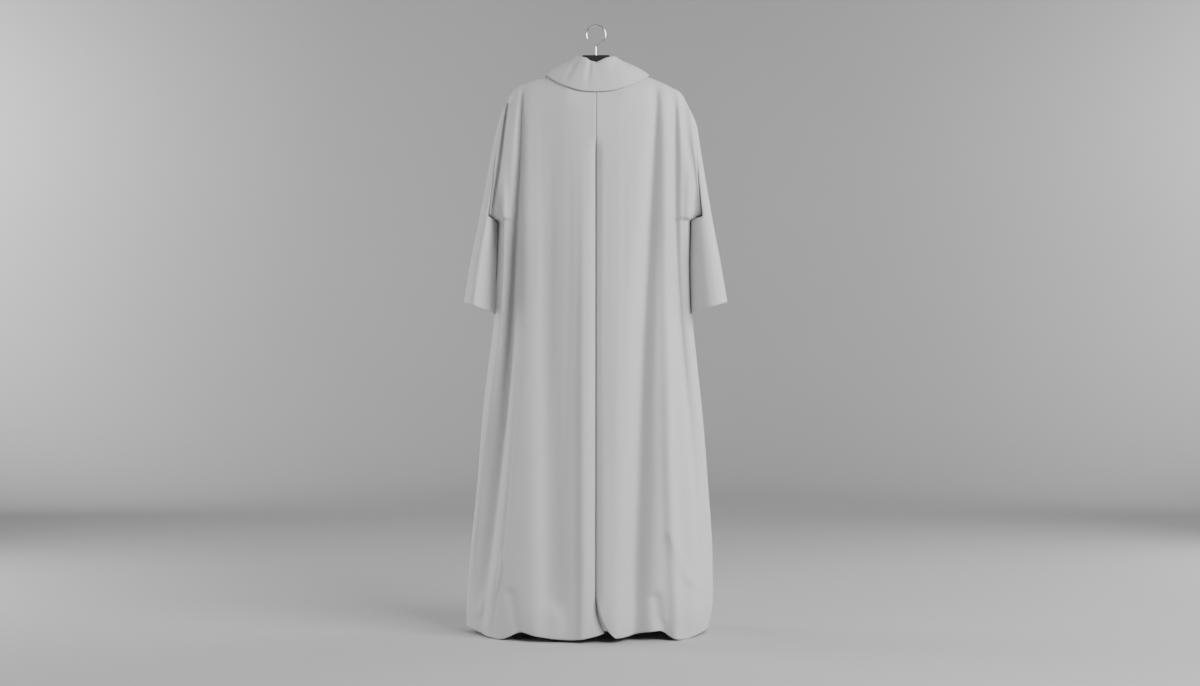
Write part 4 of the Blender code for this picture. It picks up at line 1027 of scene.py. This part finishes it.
def bump_node(nodes, links, height, bump, below=None):
    """A Bump node over another's normal, and its normal."""
    node = nodes.new("ShaderNodeBump")
    node.inputs["Strength"].default_value = bump.strength
    node.inputs["Distance"].default_value = bump.height
    links.new(height, node.inputs["Height"])
    if below is not None:
        links.new(below, node.inputs["Normal"])
    return node.outputs["Normal"]


def cloth_material(settings):
    """White plain-woven cloth: crossing threads, slubs, faint mottling and a soft sheen."""
    found = bpy.data.materials.get("alb_cloth")
    if found:
        return found
    material, shader, nodes, links = new_material("alb_cloth")
    place = nodes.new("ShaderNodeUVMap")
    place.uv_map = "cloth"
    split = nodes.new("ShaderNodeSeparateXYZ")
    links.new(place.outputs["UV"], split.inputs["Vector"])
    turns = math.pi / settings.thread_pitch
    threads = [math_node(nodes, links, "SINE",
                         math_node(nodes, links, "MULTIPLY", split.outputs[axis], turns))
               for axis in ("X", "Y")]
    weave = math_node(nodes, links, "MULTIPLY", *threads)
    slub_ways = [noise_node(nodes, links,
                            stretched(nodes, links, place.outputs["UV"], scale), SLUB_NOISE)
                 for scale in (SLUBS_ACROSS, SLUBS_DOWN)]
    slubs = math_node(nodes, links, "ADD", *slub_ways)
    mottle = noise_node(nodes, links, place.outputs["UV"], MOTTLE_NOISE)
    tone = math_node(nodes, links, "ADD",
                     math_node(nodes, links, "MULTIPLY", slubs, SLUB_SHARE),
                     math_node(nodes, links, "MULTIPLY", mottle, MOTTLE_SHARE))
    colour_by(nodes, links, shader, tone, settings.colour, CLOTH_TONES)
    roughen_by(nodes, links, shader, mottle, settings.roughness, CLOTH_ROUGHER)
    wavy = bump_node(nodes, links, mottle, MOTTLE_BUMP)
    slubbed = bump_node(nodes, links, slubs, SLUB_BUMP, wavy)
    woven = bump_node(nodes, links, weave, WEAVE_BUMP, slubbed)
    links.new(woven, shader.inputs["Normal"])
    shader.inputs["Sheen Weight"].default_value = settings.sheen
    shader.inputs["Sheen Roughness"].default_value = 0.5
    shader.inputs["Specular IOR Level"].default_value = 0.25
    return material


def thread_material(settings):
    """White sewing thread with a fine twist."""
    found = bpy.data.materials.get("sewing_thread")
    if found:
        return found
    material, shader, nodes, links = new_material("sewing_thread")
    place = nodes.new("ShaderNodeTexCoord")
    twist = nodes.new("ShaderNodeTexWave")
    twist.inputs["Scale"].default_value = TWIST_SCALE
    twist.bands_direction = "DIAGONAL"
    links.new(place.outputs["Object"], twist.inputs["Vector"])
    colour_by(nodes, links, shader, twist.outputs["Fac"], settings.colour, THREAD_TONES)
    raised = bump_node(nodes, links, twist.outputs["Fac"], TWIST_BUMP)
    links.new(raised, shader.inputs["Normal"])
    shader.inputs["Roughness"].default_value = 0.6
    shader.inputs["Sheen Weight"].default_value = 0.2
    return material


def plastic_material(settings):
    """Black moulded plastic with a fine grain and faint rubbed patches."""
    material, shader, nodes, links = new_material("hanger_plastic")
    place = nodes.new("ShaderNodeTexCoord")
    grain = noise_node(nodes, links, place.outputs["Object"], GRAIN_NOISE)
    rubbed = noise_node(nodes, links, place.outputs["Object"], RUBBED_NOISE)
    colour_by(nodes, links, shader, rubbed, settings.plastic_colour, PLASTIC_TONES)
    roughen_by(nodes, links, shader, rubbed, settings.plastic_roughness, PLASTIC_ROUGHER)
    links.new(bump_node(nodes, links, grain, GRAIN_BUMP), shader.inputs["Normal"])
    return material


def chrome_material(settings):
    """Bright plated wire with faint drawing marks and smudges."""
    material, shader, nodes, links = new_material("hook_chrome")
    place = nodes.new("ShaderNodeTexCoord")
    smudge = noise_node(nodes, links, place.outputs["Object"], SMUDGE_NOISE)
    marks = noise_node(nodes, links, place.outputs["Object"], DRAWN_NOISE)
    colour_by(nodes, links, shader, smudge, settings.chrome_colour, CHROME_TONES)
    roughen_by(nodes, links, shader, smudge, settings.chrome_roughness, CHROME_ROUGHER)
    links.new(bump_node(nodes, links, marks, DRAWN_BUMP), shader.inputs["Normal"])
    shader.inputs["Metallic"].default_value = 1.0
    return material


def backdrop_material(settings):
    """Matt grey studio paper with a faint uneven tone."""
    material, shader, nodes, links = new_material("studio_paper")
    place = nodes.new("ShaderNodeTexCoord")
    cloudy = noise_node(nodes, links, place.outputs["Object"], CLOUDY_NOISE)
    fibres = noise_node(nodes, links, place.outputs["Object"], FIBRE_NOISE)
    colour_by(nodes, links, shader, cloudy, settings.floor_colour, PAPER_TONES)
    links.new(bump_node(nodes, links, fibres, FIBRE_BUMP), shader.inputs["Normal"])
    shader.inputs["Roughness"].default_value = 0.9
    shader.inputs["Specular IOR Level"].default_value = 0.1
    return material


class AlbClothSettings(bpy.types.PropertyGroup):
    """The cloth that the robe is cut from."""

    colour: FloatVectorProperty(name="Cloth colour",
                                description="Colour of the cloth and thread",
                                subtype="COLOR", default=(0.64, 0.64, 0.645), min=0.0, max=1.0)
    roughness: FloatProperty(name="Roughness", description="How matt the cloth is",
                             default=0.86, min=0.1, max=1.0, subtype="FACTOR")
    sheen: FloatProperty(name="Sheen", description="Soft light that the nap catches at its edges",
                         default=0.12, min=0.0, max=1.0, subtype="FACTOR")
    thickness: FloatProperty(name="Thickness", description="Thickness of one layer of cloth",
                             default=0.0012, min=0.0005, max=0.003, unit="LENGTH", precision=4)
    thread_pitch: FloatProperty(name="Thread pitch", description="Distance between two threads",
                                default=0.00055, min=0.0002, max=0.002, unit="LENGTH",
                                precision=5)
    columns: IntProperty(name="Columns", description="Points across each half of the back",
                         default=76, min=20, max=120)


class AlbStitchSettings(bpy.types.PropertyGroup):
    """The stitching along the hems and the cuffs."""

    stitch_length: FloatProperty(name="Stitch length",
                                 description="Distance from stitch to stitch",
                                 default=0.0034, min=0.002, max=0.01, unit="LENGTH", precision=4)
    stitch_fill: FloatProperty(name="Stitch fill", description="Share of that length that shows",
                               default=0.72, min=0.3, max=0.95, subtype="FACTOR")
    stitch_radius: FloatProperty(name="Thread radius", description="Radius of the sewing thread",
                                 default=0.00022, min=0.0001, max=0.001, unit="LENGTH",
                                 precision=5)


class AlbHangerSettings(bpy.types.PropertyGroup):
    """The hanger and its hook."""

    plastic_colour: FloatVectorProperty(name="Hanger colour", description="Colour of the plastic",
                                        subtype="COLOR", default=(0.012, 0.012, 0.013),
                                        min=0.0, max=1.0)
    plastic_roughness: FloatProperty(name="Hanger roughness",
                                     description="How matt the plastic is",
                                     default=0.45, min=0.15, max=0.8, subtype="FACTOR")
    chrome_colour: FloatVectorProperty(name="Hook colour", description="Colour of the plated wire",
                                       subtype="COLOR", default=(0.80, 0.80, 0.81),
                                       min=0.0, max=1.0)
    chrome_roughness: FloatProperty(name="Hook roughness", description="How dull the wire is",
                                    default=0.10, min=0.02, max=0.6, subtype="FACTOR")


class AlbStageSettings(bpy.types.PropertyGroup):
    """The studio that the robe is shown in."""

    floor_colour: FloatVectorProperty(name="Paper colour",
                                      description="Colour of the studio paper",
                                      subtype="COLOR", default=(0.54, 0.54, 0.54),
                                      min=0.0, max=1.0)
    camera_distance: FloatProperty(name="Camera distance",
                                   description="From the robe to the camera",
                                   default=4.28, min=1.0, max=12.0, unit="LENGTH")
    camera_out: FloatProperty(name="Camera out", description="Camera's place across the robe",
                              default=0.0103, min=-1.0, max=1.0, unit="LENGTH")
    camera_down: FloatProperty(name="Camera down", description="Camera's height below the hook",
                               default=0.814, min=0.0, max=2.0, unit="LENGTH")
    camera_lens: FloatProperty(name="Lens", description="Focal length on a 36 mm sensor",
                               default=50.0, min=20.0, max=200.0)
    key_power: FloatProperty(name="Key light", description="Power of the light in front at right",
                             default=98.0, min=0.0, max=2000.0, unit="POWER")
    cross_power: FloatProperty(name="Cross light",
                               description="Power of the light across the robe",
                               default=96.0, min=0.0, max=2000.0, unit="POWER")
    fill_power: FloatProperty(name="Fill light", description="Power of the light at left",
                              default=18.0, min=0.0, max=2000.0, unit="POWER")
    side_power: FloatProperty(name="Side lights", description="Power of each light at the sides",
                              default=32.0, min=0.0, max=2000.0, unit="POWER")
    wall_power: FloatProperty(name="Wall lights", description="Power of each light on the wall",
                              default=28.0, min=0.0, max=2000.0, unit="POWER")
    room_light: FloatProperty(name="Room light", description="Strength of the light from above",
                              default=0.15, min=0.0, max=3.0)


class ALB_OT_back(bpy.types.Operator):
    """Make the back, one cloth above the pleat and parted below it"""

    bl_idname = "alb.back"
    bl_label = "Make Back"

    def execute(self, context):
        settings = context.scene.alb_cloth
        halves = [panel_points(side, BACK, BACK_ROWS, settings.columns) for side in SIDES]
        points = np.concatenate([halves[0][:, ::-1], halves[1]], axis=1)
        piece = make_cloth("alb_back", points, settings.thickness, cloth_material(settings),
                           towards((0.0, -1.0, 0.0)), split=settings.columns - 1)
        hang_cloth(piece, ("back_left", "back_right"))
        return {"FINISHED"}


class ALB_OT_pleat_underlay(bpy.types.Operator):
    """Make the cloth behind the pleat's opening"""

    bl_idname = "alb.pleat_underlay"
    bl_label = "Make Pleat Underlay"

    def execute(self, context):
        settings = context.scene.alb_cloth
        points = underlay_points(settings)
        piece = make_cloth("alb_pleat_underlay", points, settings.thickness,
                           cloth_material(settings), towards((0.0, -1.0, 0.0)))
        hang_cloth(piece, ("pleat_underlay",))
        return {"FINISHED"}


class ALB_OT_fronts(bpy.types.Operator):
    """Make the left and the right front"""

    bl_idname = "alb.fronts"
    bl_label = "Make Fronts"

    def execute(self, context):
        settings = context.scene.alb_cloth
        for side in SIDES:
            points = panel_points(side, FRONT, FRONT_ROWS, settings.columns - FRONT_COLUMNS_FEWER)
            name = SIDE_NAMES[side]
            piece = make_cloth(f"alb_front_{name}", points, settings.thickness,
                               cloth_material(settings), towards((0.0, 1.0, 0.0)))
            hang_cloth(piece, (f"front_{name}",))
        return {"FINISHED"}


class ALB_OT_sleeves(bpy.types.Operator):
    """Make both wide sleeves"""

    bl_idname = "alb.sleeves"
    bl_label = "Make Sleeves"

    def execute(self, context):
        settings = context.scene.alb_cloth
        for side in SIDES:
            points = sleeve_points(side)
            name = SIDE_NAMES[side]
            middle = points.reshape(-1, 3).mean(axis=0)
            piece = make_cloth(f"alb_sleeve_{name}", points, settings.thickness,
                               cloth_material(settings), lambda places: places - middle, ring=True)
            hang_cloth(piece, (f"sleeve_{name}",))
        return {"FINISHED"}


class ALB_OT_collar(bpy.types.Operator):
    """Make the wide turned-down collar"""

    bl_idname = "alb.collar"
    bl_label = "Make Collar"

    def execute(self, context):
        settings = context.scene.alb_cloth
        points = collar_points()
        piece = make_cloth("alb_collar", points, settings.thickness, cloth_material(settings),
                           away_from_axis)
        hang_cloth(piece, ("collar",))
        return {"FINISHED"}


class ALB_OT_stitching(bpy.types.Operator):
    """Stitch the hems of the body and of the cuffs"""

    bl_idname = "alb.stitching"
    bl_label = "Make Stitching"

    def execute(self, context):
        settings = context.scene.alb_stitches
        thread = thread_material(context.scene.alb_cloth)
        for side in SIDES:
            for face, face_name in FACE_NAMES.items():
                path, facing = hem_stitch_path(side, face)
                stitch_mesh(f"hem_stitches_{face_name}_{SIDE_NAMES[side]}", path, facing,
                            settings, thread)
            points = sleeve_points(side)
            heights = run_lengths(points[::-1], 0)[::-1]
            row = int(np.argmin(np.abs(heights[:, 0] - CUFF_DEPTH)))
            ring = np.concatenate([points[row], points[row, :1]])
            facing = ring - ring.mean(axis=0)
            stitch_mesh(f"cuff_stitches_{SIDE_NAMES[side]}", ring, facing, settings, thread)
        return {"FINISHED"}


class ALB_OT_hanger(bpy.types.Operator):
    """Finish the hanger in moulded plastic and its hook in plated wire"""

    bl_idname = "alb.hanger"
    bl_label = "Finish Hanger"

    def execute(self, context):
        settings = context.scene.alb_hanger
        finishes = {"hanger": plastic_material(settings), "hook": chrome_material(settings)}
        for node_name, material in finishes.items():
            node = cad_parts[node_name]
            for slot in node.material_slots:
                slot.material = material
        return {"FINISHED"}


def add_light(light, power):
    """A soft rectangular light of the given power, which doesn't show itself."""
    data = bpy.data.lights.new(light.name, "AREA")
    data.shape = "RECTANGLE"
    data.size, data.size_y = light.size
    data.energy = power
    lamp = new_object(light.name, data)
    lamp.location = light.place
    aim = Vector(light.target) - Vector(light.place)
    lamp.rotation_euler = aim.to_track_quat("-Z", "Y").to_euler()
    lamp.visible_camera = False


def make_paper(settings):
    """Studio paper all round: a floor that sweeps up into a wall."""
    profile = [(PAPER_RADIUS * ring / PAPER_RINGS, 0.0) for ring in range(PAPER_RINGS + 1)]
    for ring in range(1, PAPER_RINGS + 1):
        angle = math.pi / 2 * ring / PAPER_RINGS
        profile.append((PAPER_RADIUS + PAPER_SWEEP * math.sin(angle),
                        PAPER_SWEEP * (1 - math.cos(angle))))
    profile.append((PAPER_RADIUS + PAPER_SWEEP, PAPER_HEIGHT))
    floor_z = CAD_BOX[0].z - FLOOR_GAP
    vertices = []
    for radius, height in profile:
        for step in range(PAPER_AROUND):
            turn = 2 * math.pi * step / PAPER_AROUND
            vertices.append((radius * math.sin(turn), radius * math.cos(turn), floor_z + height))
    mesh = bpy.data.meshes.new("studio_paper")
    mesh.from_pydata(vertices, [], grid_faces(len(profile), PAPER_AROUND, True))
    weld(mesh, PAPER_WELD)
    mesh.materials.append(backdrop_material(settings))
    mesh.shade_smooth()
    return new_object("studio_paper", mesh)


class ALB_OT_stage(bpy.types.Operator):
    """Set up the studio paper, the soft lights and the camera"""

    bl_idname = "alb.stage"
    bl_label = "Make Stage"

    def execute(self, context):
        settings = context.scene.alb_stage
        paper = make_paper(settings)
        for light in LIGHTS:
            add_light(light, getattr(settings, light.power) * light.share)
        world = bpy.data.worlds.new("studio_room")
        world.use_nodes = True
        background = world.node_tree.nodes["Background"]
        background.inputs["Color"].default_value = (1.0, 1.0, 1.0, 1.0)
        background.inputs["Strength"].default_value = settings.room_light
        context.scene.world = world
        camera_data = bpy.data.cameras.new("camera")
        camera_data.lens = settings.camera_lens
        camera_data.sensor_width = SENSOR_WIDTH
        camera = new_object("camera", camera_data)
        camera.location = (settings.camera_out, -settings.camera_distance, -settings.camera_down)
        camera.rotation_euler = (math.pi / 2, 0.0, 0.0)
        context.scene.camera = camera
        return {"FINISHED"}


class ALB_PT_robe(bpy.types.Panel):
    """Lists the steps that make the robe"""

    bl_idname = "ALB_PT_robe"
    bl_label = "Hanging Alb"
    bl_space_type = "VIEW_3D"
    bl_region_type = "UI"
    bl_category = "Alb"

    def draw(self, context):
        layout = self.layout
        for group in SETTINGS:
            values = getattr(context.scene, group)
            box = layout.box()
            for name in values.bl_rna.properties.keys():
                if name not in ("rna_type", "name"):
                    box.prop(values, name)
        for operator in OPERATORS:
            layout.operator(operator.bl_idname)


SETTINGS = {
    "alb_cloth": AlbClothSettings,
    "alb_stitches": AlbStitchSettings,
    "alb_hanger": AlbHangerSettings,
    "alb_stage": AlbStageSettings,
}
OPERATORS = (ALB_OT_back, ALB_OT_pleat_underlay, ALB_OT_fronts, ALB_OT_sleeves, ALB_OT_collar,
             ALB_OT_stitching, ALB_OT_hanger, ALB_OT_stage)
CLASSES = (*SETTINGS.values(), *OPERATORS, ALB_PT_robe)


def register():
    """Register the settings, operators and panel."""
    for each in CLASSES:
        bpy.utils.register_class(each)
    for name, group in SETTINGS.items():
        setattr(bpy.types.Scene, name, PointerProperty(type=group))


def unregister():
    """Remove the settings, operators and panel again."""
    for name in SETTINGS:
        delattr(bpy.types.Scene, name)
    for each in reversed(CLASSES):
        bpy.utils.unregister_class(each)


def main():
    """Make every piece in order."""
    register()
    bpy.ops.alb.back()
    bpy.ops.alb.pleat_underlay()
    bpy.ops.alb.fronts()
    bpy.ops.alb.sleeves()
    bpy.ops.alb.collar()
    bpy.ops.alb.stitching()
    bpy.ops.alb.hanger()
    bpy.ops.alb.stage()


if __name__ == "__main__":
    main()
